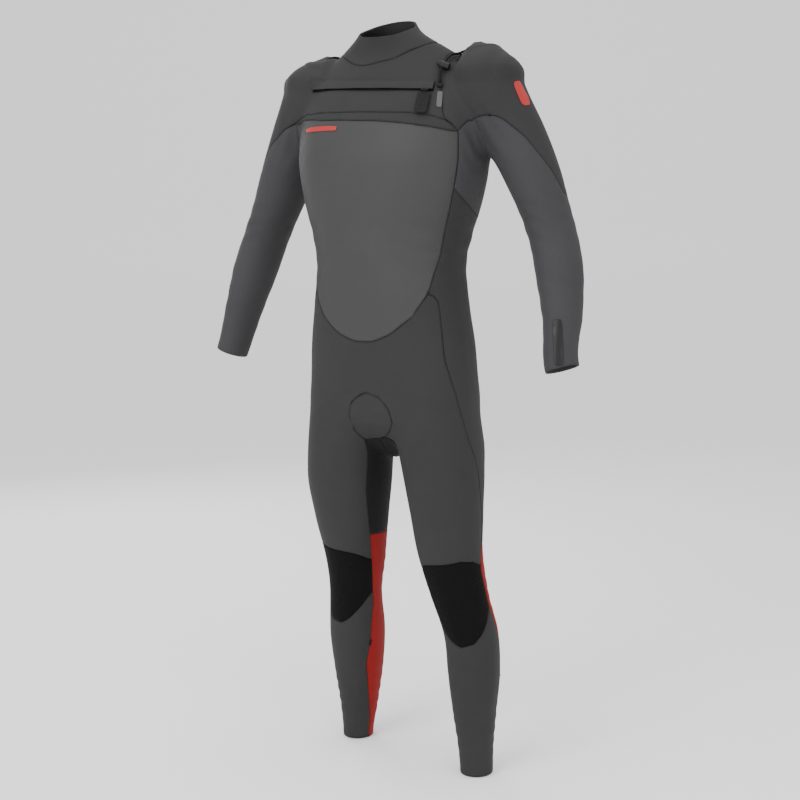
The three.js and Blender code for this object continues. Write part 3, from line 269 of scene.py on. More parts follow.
def fold_height(p):
    """Rows of soft folds: a wave across each fold line, wandering a little, faded by a bell."""
    height = np.zeros(len(p))
    for centre, across, reach, spacing, rise in FOLDS:
        q = (p - SHIFT) / MM - np.array(centre)
        across = np.array(across) / np.linalg.norm(across)
        bell = np.exp(-0.5 * ((q / np.array(reach)) ** 2).sum(axis=1) * 1.6)
        wander = 5 * np.sin(q[:, 0] / 19 + q[:, 1] / 23) + 3 * np.sin(q[:, 1] / 11 - q[:, 2] / 37)
        height += rise * bell * np.sin(2 * np.pi * (q @ across + wander) / spacing)
    return height * MM


# ------------------------------------------------------------------ meshes
def mesh_object(name, points, faces, values=None):
    """A mesh object from points and one array of faces, with float values on its points."""
    faces = np.asarray(faces)
    mesh = bpy.data.meshes.new(name)
    count, sides = faces.shape
    mesh.vertices.add(len(points))
    mesh.vertices.foreach_set("co", np.asarray(points, float).ravel())
    mesh.loops.add(count * sides)
    mesh.loops.foreach_set("vertex_index", faces.astype(np.int32).ravel())
    mesh.polygons.add(count)
    mesh.polygons.foreach_set("loop_start", np.arange(count, dtype=np.int32) * sides)
    mesh.polygons.foreach_set("use_smooth", np.full(count, True))
    mesh.update(calc_edges=True)
    mesh.validate()
    for key, data in (values or {}).items():
        mesh.attributes.new(key, "FLOAT", "POINT").data.foreach_set("value", np.asarray(data, float))
    made = bpy.data.objects.new(name, mesh)
    bpy.context.collection.objects.link(made)
    return made


def grid_faces(rows, columns, wrap_rows=False, wrap_columns=False):
    """The four-sided faces of a grid of points, joined to itself where it wraps."""
    i, j = np.meshgrid(
        np.arange(rows if wrap_rows else rows - 1),
        np.arange(columns if wrap_columns else columns - 1),
        indexing="ij",
    )
    i, j = i.ravel(), j.ravel()
    down, on = (i + 1) % rows, (j + 1) % columns
    return np.stack([i * columns + j, i * columns + on, down * columns + on, down * columns + j], axis=1)


def surface(name, grid, wrap_rows=False, wrap_columns=False, values=None):
    """An object from a grid of points, rows by columns."""
    rows, columns = grid.shape[:2]
    flat = {key: np.asarray(data).ravel() for key, data in (values or {}).items()}
    faces = grid_faces(rows, columns, wrap_rows, wrap_columns)
    return mesh_object(name, grid.reshape(-1, 3), faces, values=flat)


def node_triangles(name):
    """A CAD node's points and triangles, with shared points merged."""
    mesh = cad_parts[name].data
    mesh.calc_loop_triangles()
    points = np.empty(len(mesh.vertices) * 3)
    mesh.vertices.foreach_get("co", points)
    corners = np.empty(len(mesh.loop_triangles) * 3, np.int32)
    mesh.loop_triangles.foreach_get("vertices", corners)
    points = points.reshape(-1, 3)
    _, first, inverse = np.unique(np.round(points, 6), axis=0, return_index=True, return_inverse=True)
    triangles = inverse.reshape(-1)[corners].reshape(-1, 3)
    whole = (np.diff(np.sort(triangles, axis=1), axis=1) > 0).all(axis=1)
    return points[first], triangles[whole]


def packed(points, triangles):
    """Only the points that the triangles use."""
    used, inverse = np.unique(triangles, return_inverse=True)
    return points[used], inverse.reshape(-1, 3)


def outer_face(name):
    """The triangles on a panel's outside: those that face out near the surface, and all that
    they lead to without going round a sharp edge."""
    points, triangles = node_triangles(name)
    a, b, c = (points[triangles[:, k]] for k in range(3))
    normal = np.cross(b - a, c - a)
    normal /= np.maximum(np.linalg.norm(normal, axis=1, keepdims=True), 1e-12)
    middle = (a + b + c) / 3
    facing = (normal * outward(middle, limbs_distance)).sum(axis=1)
    depth = limbs_distance(points)[triangles].min(axis=1)
    outside = (facing > 0.3) & (depth > -3.3 * MM)
    edges = triangles[:, [[0, 1], [1, 2], [2, 0]]].reshape(-1, 2)
    far = triangles[:, [2, 0, 1]].reshape(-1)
    owner = np.repeat(np.arange(len(triangles)), 3)
    key = edges.min(axis=1).astype(np.int64) * len(points) + edges.max(axis=1)
    order = np.argsort(key, kind="stable")
    pair = np.flatnonzero(key[order][1:] == key[order][:-1])
    one, two = order[pair], order[pair + 1]
    level = (normal[owner[one]] * normal[owner[two]]).sum(axis=1) > 0.6
    hollow = ((points[far[two]] - points[edges[one, 0]]) * normal[owner[one]]).sum(axis=1) > 0
    one, two = owner[one][level | hollow], owner[two][level | hollow]
    reached = outside & (facing > 0.6) & (depth > -2.2 * MM)
    for _ in range(400):
        before = reached.sum()
        reached[two[reached[one]]] = True
        reached[one[reached[two]]] = True
        if reached.sum() == before:
            break
    return packed(points, triangles[outside | reached])


def refined(points, triangles, longest):
    """Halves every edge that is longer than wanted until none is, keeping neighbours joined."""
    for _ in range(14):
        edges = np.sort(triangles[:, [[0, 1], [1, 2], [2, 0]]], axis=2)
        key = edges[..., 0].astype(np.int64) * len(points) + edges[..., 1]
        length = np.linalg.norm(points[edges[..., 0]] - points[edges[..., 1]], axis=2)
        long = length > longest
        if not long.any():
            break
        marked = np.unique(key[long])
        middle = (points[marked // len(points)] + points[marked % len(points)]) / 2
        at = np.searchsorted(marked, key)
        new = np.where(long, at + len(points), -1)
        count = long.sum(axis=1)
        # Turn each triangle so that its marked edges come first.
        after_short = (long.argmin(axis=1) + 1) % 3
        turn = np.where(count == 1, long.argmax(axis=1), np.where(count == 2, after_short, 0))
        order = (turn[:, None] + np.arange(3)) % 3
        v = np.take_along_axis(triangles, order, axis=1)
        m = np.take_along_axis(new, order, axis=1)
        one, two, three = count == 1, count == 2, count == 3
        pieces = [
            triangles[count == 0],
            np.stack([v[one, 0], m[one, 0], v[one, 2]], 1), np.stack([m[one, 0], v[one, 1], v[one, 2]], 1),
            np.stack([m[two, 0], v[two, 1], m[two, 1]], 1), np.stack([v[two, 0], m[two, 0], m[two, 1]], 1),
            np.stack([v[two, 0], m[two, 1], v[two, 2]], 1),
            np.stack([v[three, 0], m[three, 0], m[three, 2]], 1),
            np.stack([m[three, 0], v[three, 1], m[three, 1]], 1),
            np.stack([m[three, 2], m[three, 1], v[three, 2]], 1), m[three],
        ]
        triangles = np.concatenate(pieces)
        points = np.concatenate([points, middle])
    return points, triangles


def border_edges(triangles, count):
    """Edges that only one triangle has."""
    edges = np.sort(triangles[:, [[0, 1], [1, 2], [2, 0]]].reshape(-1, 2), axis=1)
    key, times = np.unique(edges[:, 0].astype(np.int64) * count + edges[:, 1], return_counts=True)
    every = np.stack([key // count, key % count], axis=1)
    return every, every[times == 1]


def neighbour_mean(points, edges):
    """The mean of each point's neighbours along the edges, and how many it has."""
    total, times = np.zeros_like(points), np.zeros(len(points))
    for near, far in ((0, 1), (1, 0)):
        np.add.at(total, edges[:, near], points[edges[:, far]])
        np.add.at(times, edges[:, near], 1)
    return total / np.maximum(times, 1)[:, None], times


def relaxed(points, triangles, rounds=10):
    """Evens the triangles out over the body, and the panel's edge along itself between corners."""
    every, border = border_edges(triangles, len(points))
    mean, times = neighbour_mean(points, border)
    on_border = times > 0
    # A corner is a border point whose two neighbours don't lie opposite each other.
    spacing = np.zeros(len(points))
    for near, far in ((0, 1), (1, 0)):
        stride = np.linalg.norm(points[border[:, near]] - points[border[:, far]], axis=1)
        np.add.at(spacing, border[:, near], stride / 2)
    corner = on_border & ((times != 2) | (np.linalg.norm(mean - points, axis=1) > 0.36 * spacing))
    for turn in range(rounds):
        inner, _ = neighbour_mean(points, every)
        edge, _ = neighbour_mean(points, border)
        target = np.where(on_border[:, None], edge, inner)
        points = points + np.where(corner, 0, 0.5)[:, None] * (target - points)
        if turn % 3 == 2:
            points = settle(points, steps=1)
    return settle(points, steps=3), border


def seam_measure(points, border):
    """Distance from each point to the panel's edge, and how far along that edge its foot lies."""
    start, way = points[border[:, 0]], points[border[:, 1]] - points[border[:, 0]]
    length = np.linalg.norm(way, axis=1)
    foot_scale = np.maximum(length**2, 1e-12)
    # Chain the edge pieces so that each knows how far along the edge it begins.
    links = {}
    for k, (a, b) in enumerate(border.tolist()):
        links.setdefault(a, []).append((k, b))
        links.setdefault(b, []).append((k, a))
    begins, ahead, done = np.zeros(len(border)), np.ones(len(border)), set()
    for first in range(len(border)):
        at, travelled, k = int(border[first, 0]), 0.0, first
        while k is not None and k not in done:
            done.add(k)
            forward = border[k, 0] == at
            ahead[k] = 1 if forward else -1
            begins[k] = travelled if forward else travelled + length[k]
            travelled += length[k]
            at = int(border[k, 1] if forward else border[k, 0])
            k = next((n for n, _ in links[at] if n not in done), None)
    distance, along = np.empty(len(points)), np.empty(len(points))
    for low in range(0, len(points), 1500):
        offset = points[low:low + 1500, None] - start
        share = np.clip((offset * way).sum(axis=2) / foot_scale, 0, 1)
        gap = np.linalg.norm(offset - share[..., None] * way, axis=2)
        best = gap.argmin(axis=1)
        rows = np.arange(len(best))
        distance[low:low + 1500] = gap[rows, best]
        along[low:low + 1500] = begins[best] + ahead[best] * share[rows, best] * length[best]
    return distance, along


# ------------------------------------------------------------------ materials
class Recipe:
    """Makes a material's nodes in few words and joins them up."""

    def __init__(self, name, colour, roughness, **plain):
        self.material = bpy.data.materials.new(name)
        self.material.use_nodes = True
        self.tree = self.material.node_tree
        self.shader = self.tree.nodes["Principled BSDF"]
        self.shader.inputs["Base Color"].default_value = (*colour, 1)
        self.shader.inputs["Roughness"].default_value = roughness
        for key, value in plain.items():
            self.shader.inputs[key.replace("_", " ").title().replace("Ior", "IOR")].default_value = value

    def node(self, kind, settings=None, **inputs):
        made = self.tree.nodes.new(kind)
        for key, value in (settings or {}).items():
            setattr(made, key, value)
        for key, value in inputs.items():
            socket = made.inputs[int(key[1:])] if key[0] == "i" and key[1:].isdigit() else made.inputs[key]
            if isinstance(value, bpy.types.NodeSocket):
                self.tree.links.new(value, socket)
            else:
                socket.default_value = value
        return made

    def maths(self, operation, a, b=0.0):
        return self.node("ShaderNodeMath", {"operation": operation}, i0=a, i1=b).outputs[0]

    def place(self):
        return self.node("ShaderNodeTexCoord").outputs["Object"]

    def value(self, name):
        return self.node("ShaderNodeAttribute", {"attribute_name": name}).outputs["Fac"]

    def noise(self, scale, detail=2.0, vector=None):
        made = self.node("ShaderNodeTexNoise", Scale=scale, Detail=detail, Vector=vector or self.place())
        return made.outputs["Fac"]

    def ramp(self, value, low, high, out_low=0.0, out_high=1.0):
        made = self.node("ShaderNodeMapRange", {"interpolation_type": "SMOOTHSTEP"}, i0=value)
        for index, number in zip((1, 2, 3, 4), (low, high, out_low, out_high)):
            made.inputs[index].default_value = number
        return made.outputs[0]

    def mix(self, share, a, b):
        made = self.node("ShaderNodeMix", {"data_type": "RGBA"})
        for socket, value in ((made.inputs[0], share), (made.inputs[6], a), (made.inputs[7], b)):
            if isinstance(value, bpy.types.NodeSocket):
                self.tree.links.new(value, socket)
            else:
                socket.default_value = value if isinstance(value, float) else (*value, 1)
        return made.outputs[2]

    def bumps(self, *layers):
        """Each layer is a height and the distance that one unit of it stands for."""
        normal = None
        for height, distance in layers:
            made = self.node("ShaderNodeBump", Height=height, Distance=distance, Strength=1.0)
            if normal:
                self.tree.links.new(normal, made.inputs["Normal"])
            normal = made.outputs["Normal"]
        self.tree.links.new(normal, self.shader.inputs["Normal"])

    def finish(self, socket, value):
        self.tree.links.new(value, self.shader.inputs[socket])
        return self.material


def stitched(recipe, colour):
    """The colour and relief of a panel's edge: a glued groove, darkened with painted shade, and a row of
    blind stitches.
    """
    edge = recipe.value("edge_mm")
    along = recipe.value("along_mm")
    # Painted shade: one at the panel's edge, fading out by 1.2 mm, darkens the colour in the seam groove;
    # the same mask also cuts the groove's relief.
    groove_and_painted_shade = recipe.ramp(edge, 0.0, 1.2, 1.0, 0.0)
    band = recipe.maths("ABSOLUTE", recipe.maths("SUBTRACT", edge, 2.7))
    row = recipe.ramp(band, 0.25, 0.75, 1.0, 0.0)
    wave = recipe.maths("SINE", recipe.maths("MULTIPLY", along, 2 * math.pi / 3.4))
    dash = recipe.ramp(wave, -0.5, 0.3)
    stitch = recipe.maths("MULTIPLY", row, dash)
    # The painted shade's colour in the seam groove: the panel's colour at 0.55.
    painted_groove_shade = tuple(c * 0.55 for c in colour)
    thread = tuple(c * 0.72 for c in colour)
    return groove_and_painted_shade, stitch, painted_groove_shade, thread


def jersey(name, colour, roughness=0.82, ribs=0.5):
    """Knitted nylon: fine courses, a little fuzz, cloudy tone, and stitched edges with painted shade in
    their grooves.
    """
    cloth = {"sheen_weight": 0.02, "sheen_roughness": 0.5, "specular_ior_level": 0.16}
    recipe = Recipe(name, colour, roughness, **cloth)
    groove_and_painted_shade, stitch, painted_groove_shade, thread = stitched(recipe, colour)
    cloud = recipe.ramp(recipe.noise(7.0, 3.0), 0.3, 0.7)
    grain = recipe.noise(1500.0, 2.0)
    tone = recipe.mix(cloud, tuple(c * 0.93 for c in colour), tuple(c * 1.06 for c in colour))
    fuzz = recipe.ramp(grain, 0.35, 0.7, 0.0, 0.28)
    tone = recipe.mix(fuzz, tone, tuple(min(1, c * 1.55) for c in colour))
    tone = recipe.mix(stitch, tone, thread)
    # Painted shade darkens the seam groove at the panel's edge.
    tone = recipe.mix(groove_and_painted_shade, tone, painted_groove_shade)
    courses = recipe.node("ShaderNodeTexWave", {"bands_direction": "Z"}, Scale=240.0, Distortion=1.2,
                          Vector=recipe.place()).outputs["Fac"]
    recipe.bumps(
        (recipe.noise(24.0, 3.0), 0.9 * MM), (courses, ribs * 0.12 * MM), (grain, 0.16 * MM),
        (stitch, 0.22 * MM), (groove_and_painted_shade, -0.35 * MM),
    )
    return recipe.finish("Base Color", tone)


def smooth_skin(name, colour):
    """Smooth-skin neoprene with a fine embossed mesh, satin, with faint lighter pores, and painted shade in
    its seam grooves.
    """
    recipe = Recipe(name, colour, 0.55, specular_ior_level=0.34, coat_weight=0.04, coat_roughness=0.45)
    groove_and_painted_shade, stitch, painted_groove_shade, thread = stitched(recipe, colour)
    cells = recipe.node("ShaderNodeTexVoronoi", {"feature": "DISTANCE_TO_EDGE"}, Scale=520.0,
                        Randomness=0.9, Vector=recipe.place()).outputs["Distance"]
    cell = recipe.ramp(cells, 0.02, 0.22)
    cloud = recipe.ramp(recipe.noise(6.0, 3.0), 0.3, 0.7)
    tone = recipe.mix(cloud, tuple(c * 0.94 for c in colour), tuple(c * 1.07 for c in colour))
    tone = recipe.mix(recipe.maths("MULTIPLY", cell, 0.35), tone, tuple(c * 0.72 for c in colour))
    tone = recipe.mix(stitch, tone, thread)
    # Painted shade darkens the seam groove at the panel's edge.
    tone = recipe.mix(groove_and_painted_shade, tone, painted_groove_shade)
    recipe.bumps(
        (recipe.noise(20.0, 3.0), 0.8 * MM), (cell, 0.14 * MM), (stitch, 0.22 * MM), (groove_and_painted_shade, -0.4 * MM),
    )
    return recipe.finish("Base Color", tone)


def knee_rubber(name, colour):
    """A tough printed pad: small raised studs on black cloth, with painted shade in its seam grooves."""
    recipe = Recipe(name, colour, 0.75, specular_ior_level=0.10)
    groove_and_painted_shade, stitch, painted_groove_shade, _ = stitched(recipe, colour)
    cells = recipe.node("ShaderNodeTexVoronoi", {"feature": "F1"}, Scale=260.0, Randomness=0.8,
                        Vector=recipe.place()).outputs["Distance"]
    stud = recipe.ramp(cells, 0.28, 0.42, 1.0, 0.0)
    tone = recipe.mix(recipe.maths("MULTIPLY", stud, 0.5), colour, tuple(c * 1.9 for c in colour))
    # Painted shade darkens the seam groove at the pad's edge.
    tone = recipe.mix(groove_and_painted_shade, tone, painted_groove_shade)
    recipe.bumps(
        (recipe.noise(30.0, 3.0), 0.5 * MM), (stud, 0.3 * MM), (stitch, 0.2 * MM), (groove_and_painted_shade, -0.5 * MM),
    )
    return recipe.finish("Base Color", tone)


def webbing(name, colour, scale=420.0):
    """Tight woven tape: two crossing waves of yarn with a dull gloss."""
    recipe = Recipe(name, colour, 0.6, specular_ior_level=0.22)
    warp = recipe.node("ShaderNodeTexWave", {"bands_direction": "DIAGONAL"}, Scale=scale,
                       Vector=recipe.place()).outputs["Fac"]
    weft = recipe.node("ShaderNodeTexWave", {"bands_direction": "Z"}, Scale=scale,
                       Vector=recipe.place()).outputs["Fac"]
    yarn = recipe.maths("MULTIPLY", warp, weft)
    tone = recipe.mix(yarn, tuple(c * 0.6 for c in colour), tuple(c * 1.8 for c in colour))
    recipe.bumps((yarn, 0.25 * MM), (recipe.noise(900.0), 0.08 * MM))
    return recipe.finish("Base Color", tone)


def moulded(name, colour, roughness=0.4, **plain):
    """Moulded or printed plastic: fine texture, uneven gloss."""
    recipe = Recipe(name, colour, roughness, **plain)
    speck = recipe.noise(700.0, 2.0)
    low, high = tuple(c * 0.85 for c in colour), tuple(c * 1.15 for c in colour)
    tone = recipe.mix(recipe.ramp(speck, 0.3, 0.8), low, high)
    recipe.bumps((speck, 0.06 * MM), (recipe.noise(60.0), 0.1 * MM))
    recipe.finish("Roughness", recipe.ramp(recipe.noise(90.0), 0.2, 0.8, roughness - 0.06, roughness + 0.1))
    return recipe.finish("Base Color", tone)


def brushed_wire(name, colour):
    """Bright wire with drawn streaks."""
    recipe = Recipe(name, colour, 0.3, metallic=1.0)
    recipe.bumps((recipe.noise(1200.0), 0.03 * MM))
    return recipe.finish("Roughness", recipe.ramp(recipe.noise(300.0), 0.2, 0.8, 0.22, 0.4))


# ------------------------------------------------------------------ settings
def length_property(name, about, default, low=0.0, high=1.0):
    return bpy.props.FloatProperty(name=name, description=about, default=default, min=low, max=high,
                                   unit="LENGTH", precision=4)


def colour_property(name, about, default):
    return bpy.props.FloatVectorProperty(name=name, description=about, default=default, size=3,
                                         min=0.0, max=1.0, subtype="COLOR")


class WetsuitSizes(bpy.types.PropertyGroup):
    """Sizes of the suit's surface."""

    neoprene: length_property("Neoprene", "Thickness of the panels", 3.6 * MM)
    fineness: length_property("Fineness", "Longest edge of a panel's triangles", 5.5 * MM)
    groove: length_property("Seam groove", "Depth to which panels round off at a seam", 0.6 * MM)
    groove_reach: length_property("Seam rounding", "How far from a seam a panel rounds off", 2.4 * MM)
    flap_thickness: length_property("Flap", "Thickness of the zip's cover flap", 1.6 * MM)
    cord: length_property("Cord", "Diameter of the neck cord", 5 * MM)
    badge: length_property("Badge", "Thickness of the printed badges", 0.8 * MM)


class WetsuitColours(bpy.types.PropertyGroup):
    """Colours of the suit's materials."""

    jersey_dark: colour_property("Dark jersey", "Collar, yoke, hips and shins", (0.0225, 0.0225, 0.0228))
    jersey_light: colour_property("Light jersey", "Sleeves and side panels", (0.0330, 0.0324, 0.0345))
    jersey_black: colour_property("Black jersey", "Inner thighs", (0.0055, 0.0055, 0.0058))
    jersey_red: colour_property("Red jersey", "Calves", (0.190, 0.0060, 0.0055))
    smooth_skin: colour_property("Smooth skin", "Chest and back", (0.0245, 0.0245, 0.0250))
    knee_pad: colour_property("Knee pad", "Knee pads", (0.0016, 0.0016, 0.0017))
    webbing: colour_property("Webbing", "Cord, strap and tapes", (0.0022, 0.0022, 0.0024))
    plastic: colour_property("Plastic", "Zip, cord lock and sleeve label", (0.0022, 0.0022, 0.0024))
    print_red: colour_property("Red print", "Badges", (0.34, 0.0055, 0.0045))
    patch: colour_property("End patch", "Patch at the zip's end", (0.050, 0.050, 0.052))


MATERIALS = {}


def make_materials():
    """One material for each finish, kept by name for the operators."""
    colours = bpy.context.scene.wetsuit_colours
    MATERIALS.update(
        jersey_dark=jersey("jersey_dark", colours.jersey_dark),
        jersey_light=jersey("jersey_light", colours.jersey_light),
        jersey_black=jersey("jersey_black", colours.jersey_black),
        jersey_red=jersey("jersey_red", colours.jersey_red, ribs=0.7),
        smooth_skin=smooth_skin("smooth_skin", colours.smooth_skin),
        knee_rubber=knee_rubber("knee_rubber", colours.knee_pad),
        webbing=webbing("webbing", colours.webbing),
        cord=webbing("cord_braid", colours.webbing, 600.0),
        black_plastic=moulded("black_plastic", colours.plastic, 0.42, specular_ior_level=0.3),
        print_red=moulded("print_red", colours.print_red, 0.45),
        patch=moulded("end_patch", colours.patch, 0.5),
        spring_steel=brushed_wire("spring_steel", (0.45, 0.45, 0.46)),
    )


def dress(piece, material):
    """Gives a piece its material, in a single slot."""
    piece.data.materials.clear()
    piece.data.materials.append(MATERIALS[material])
    return piece


# ------------------------------------------------------------------ the panels
PANELS = {
    "jersey_dark": [
        "collar", "front_yoke", "left_shoulder", "upper_back", "chest_band", "front_body", "seat_panel",
        "crotch_gusset", "left_shin", "right_shin",
    ],
    "jersey_light": ["left_sleeve", "right_sleeve", "left_side_panel", "right_side_panel"],
    "jersey_black": ["left_inner_thigh", "right_inner_thigh"],
    "jersey_red": ["left_calf_panel", "right_calf_panel"],
    "smooth_skin": ["chest_panel", "back_panel"],
    "knee_rubber": ["left_knee_pad", "right_knee_pad"],
}


def sew_panel(node, material):
    """A panel's outside, laid on the body with its folds, rounded off at the seams and thickened."""
    sizes = bpy.context.scene.wetsuit_sizes
    points, triangles = refined(*outer_face(node), sizes.fineness)
    points, border = relaxed(points, triangles)
    edge, along = seam_measure(points, border)
    up = outward(points)
    rounding = sizes.groove * np.exp(-((edge / sizes.groove_reach) ** 2))
    fade = 1 - np.exp(-((edge / (9 * MM)) ** 2))
    points = points + (fold_height(points) * (0.35 + 0.65 * fade) - rounding)[:, None] * up
    points[:, 2] = np.maximum(points[:, 2], 0)
    values = {"edge_mm": edge / MM, "along_mm": along / MM}
    piece = mesh_object(node + "_cloth", points, triangles, values=values)
    thick = piece.modifiers.new("neoprene", "SOLIDIFY")
    thick.thickness = sizes.neoprene
    thick.offset = -1
    dress(piece, material)
    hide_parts(node)
    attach(piece, "suit")
    return piece


class OBJECT_OT_wetsuit_panels(bpy.types.Operator):
    """Sews every neoprene panel"""

    bl_idname = "object.wetsuit_panels"
    bl_label = "Panels"

    def execute(self, context):
        make_materials()
        for material, nodes in PANELS.items():
            for node in nodes:
                sew_panel(node, material)
        return {"FINISHED"}


# ------------------------------------------------------------------ the zip's own frame
ZIP_RADIUS = 440.2 * MM
ZIP_MIDDLE = np.array([16, 364, 1338]) * MM + SHIFT
ZIP_TILT = math.radians(3)
ZIP_LEAN = math.radians(30)
ZIP_ENDS = (-23.0, 14.2)
SLIDER_AT = 12.4
zip_axis = np.array([math.sin(ZIP_TILT), 0, math.cos(ZIP_TILT)])
zip_across = np.array([math.cos(ZIP_TILT), 0, -math.sin(ZIP_TILT)])


def zip_spot(degrees, off, up):
    """A place by degrees round the chest's bend, distance off the chest and distance up it."""
    turn, off, up = np.broadcast_arrays(np.radians(degrees), off, up)
    radius = ZIP_RADIUS + off * math.cos(ZIP_LEAN) - up * math.sin(ZIP_LEAN)
    rise = off * math.sin(ZIP_LEAN) + up * math.cos(ZIP_LEAN)
    return (ZIP_MIDDLE + (radius * np.sin(turn))[..., None] * zip_across
            - (radius * np.cos(turn))[..., None] * Y + rise[..., None] * zip_axis)


def skin_off(degrees, up):
    """How far the neoprene stands off the chest's mean surface at a place along the zip."""
    degrees, up = (a.astype(float) for a in np.broadcast_arrays(degrees, up))
    off = np.full(degrees.shape, 4 * MM)
    for _ in range(20):
        off -= 0.8 * body_distance(zip_spot(degrees, off, up).reshape(-1, 3)).reshape(off.shape)
    return off


def rounded_section(marks, thickness, steps=5):
    """A thin strip's closed outline: along its underside, round its end, and back over the top."""
    turn = np.linspace(-np.pi / 2, np.pi / 2, steps)
    half = thickness / 2
    ends = half * np.cos(turn)
    ups = np.concatenate([marks, marks[-1] + ends, marks[::-1], marks[0] - ends])
    rise = half * np.sin(turn)
    lifts = np.concatenate([0 * marks, half + rise, 0 * marks + thickness, half - rise])
    return ups, lifts


class OBJECT_OT_wetsuit_flap(bpy.types.Operator):
    """Lays the cover flap over the zip: a rounded strip's outline carried round the zip's bend, resting
    on the neoprene above and standing off it at the zip, with a slight sine wave below"""

    bl_idname = "object.wetsuit_flap"
    bl_label = "Zip cover flap"

    def execute(self, context):
        thickness = context.scene.wetsuit_sizes.flap_thickness
        ups, lifts = rounded_section(np.linspace(-4.2, 15.2, 14) * MM, thickness)
        degrees = np.linspace(ZIP_ENDS[0] - 0.25, ZIP_ENDS[1] + 0.05, 110)[:, None]
        rest = skin_off(degrees, ups) + 1.0 * MM
        raised = np.maximum(rest, 2.3 * MM)
        share = np.clip((12 * MM - ups) / (6 * MM), 0, 1)
        share = share * share * (3 - 2 * share)
        under = rest + (raised - rest) * share
        wave = 0.35 * MM * np.sin(np.radians(degrees) * 37) * np.clip((8 * MM - ups) / (12 * MM), 0, 1)
        grid = zip_spot(degrees, under + lifts + wave, ups)
        tips = [grid[:1].mean(axis=1, keepdims=True), grid[-1:].mean(axis=1, keepdims=True)]
        grid = np.concatenate([np.repeat(tips[0], len(ups), 1), grid, np.repeat(tips[1], len(ups), 1)])
        hem = (np.minimum(ups - ups.min(), ups.max() - ups) / MM)[None].repeat(len(grid), 0)
        along = np.concatenate([degrees[:1], degrees, degrees[-1:]]) * 7.7 + 0 * hem
        values = {"edge_mm": hem, "along_mm": along}
        piece = surface("cover_flap_cloth", grid, wrap_columns=True, values=values)
        dress(piece, "jersey_dark")
        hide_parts("zip_cover_flap")
        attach(piece, "suit")
        return {"FINISHED"}


def pad(name, place, half_long, half_wide, thickness, squareness=5.0, relief=None, around=72, rings=14):
    """A low pad: rings of a superellipse, a little lower at the rim, which place puts in space."""
    turn = np.linspace(0, 2 * np.pi, around, endpoint=False)
    circle = np.stack([np.cos(turn), np.sin(turn)])
    shape = np.abs(circle) ** (2 / squareness) * np.sign(circle)
    share = np.concatenate([np.linspace(0, 1, rings) ** 0.8, np.ones(4), np.linspace(1, 0, rings) ** 0.8])
    share = share[:, None]
    flat = min(thickness, half_wide)
    inset = np.concatenate([np.linspace(0, 1, rings), np.ones(4), np.linspace(1, 0, rings)])[:, None]
    rim = np.clip((inset - 0.92) / 0.08, 0, 1)
    side = np.concatenate([np.ones(rings), np.linspace(0.75, 0.25, 4), np.zeros(rings)])[:, None]
    height = thickness * np.where(side == 1, 1 - 0.18 * rim, np.where(side == 0, 0, side))
    bulge = np.where((side > 0) & (side < 1), 0.12 * flat, 0)
    long, wide = shape[0] * (half_long * share + bulge), shape[1] * (half_wide * share + bulge)
    if relief:
        height = height + np.where(side == 1, relief(long, wide), 0) * (1 - rim)
    grid = place(long, wide, height + 0 * long)
    return surface(name, grid, wrap_columns=True)


def on_cloth(start, end):
    """Places a pad on the neoprene along the line between two points on it."""
    ends = settle(np.array([start, end]) * MM + SHIFT)
    middle, way = ends.mean(axis=0), ends[1] - ends[0]
    length = np.linalg.norm(way)
    way = way / length
    side = np.cross(way, outward(middle[None])[0])
    side /= np.linalg.norm(side)

    def place(long, wide, height):
        flat = middle + long[..., None] * way + wide[..., None] * side
        shape = flat.shape
        ground = settle(flat.reshape(-1, 3), steps=6)
        lifted = ground + (height.reshape(-1) + 0.5 * MM)[:, None] * outward(ground)
        return lifted.reshape(shape)

    return place, length / 2


def raised(place, lift):
    """The same placing, standing off by the lift."""

    def higher(long, wide, height):
        return place(long, wide, height + lift)

    return higher


BADGES = {
    # name: (node, from, to, half width, squareness, material)
    "chest_badge_print": ("chest_badge", (-146, -88, 1262), (-60, -113, 1262), 4.6, 5.0, "print_red"),
    "shoulder_badge_print": ("shoulder_badge", (262, 8, 1343), (284, 10, 1299), 13.0, 4.0, "print_red"),
    "sleeve_label_print": ("sleeve_label", (368, -35, 905), (380, -50, 822), 9.0, 6.0, "black_plastic"),
    "end_patch_print": ("zip_end_patch", (138, -62, 1326), (141, -72, 1294), 5.0, 6.0, "patch"),
}


class OBJECT_OT_wetsuit_badges(bpy.types.Operator):
    """Prints the badges, the sleeve label and the patch at the zip's end: rings of a superellipse
    laid on the neoprene, a little lower at the rim"""

    bl_idname = "object.wetsuit_badges"
    bl_label = "Badges"

    def execute(self, context):
        thickness = context.scene.wetsuit_sizes.badge
        for name, (node, start, end, half_wide, squareness, material) in BADGES.items():
            place, half_long = on_cloth(start, end)
            piece = pad(name, place, half_long, half_wide * MM, thickness, squareness)
            dress(piece, material)
            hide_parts(node)
            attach(piece, "suit")
        return {"FINISHED"}


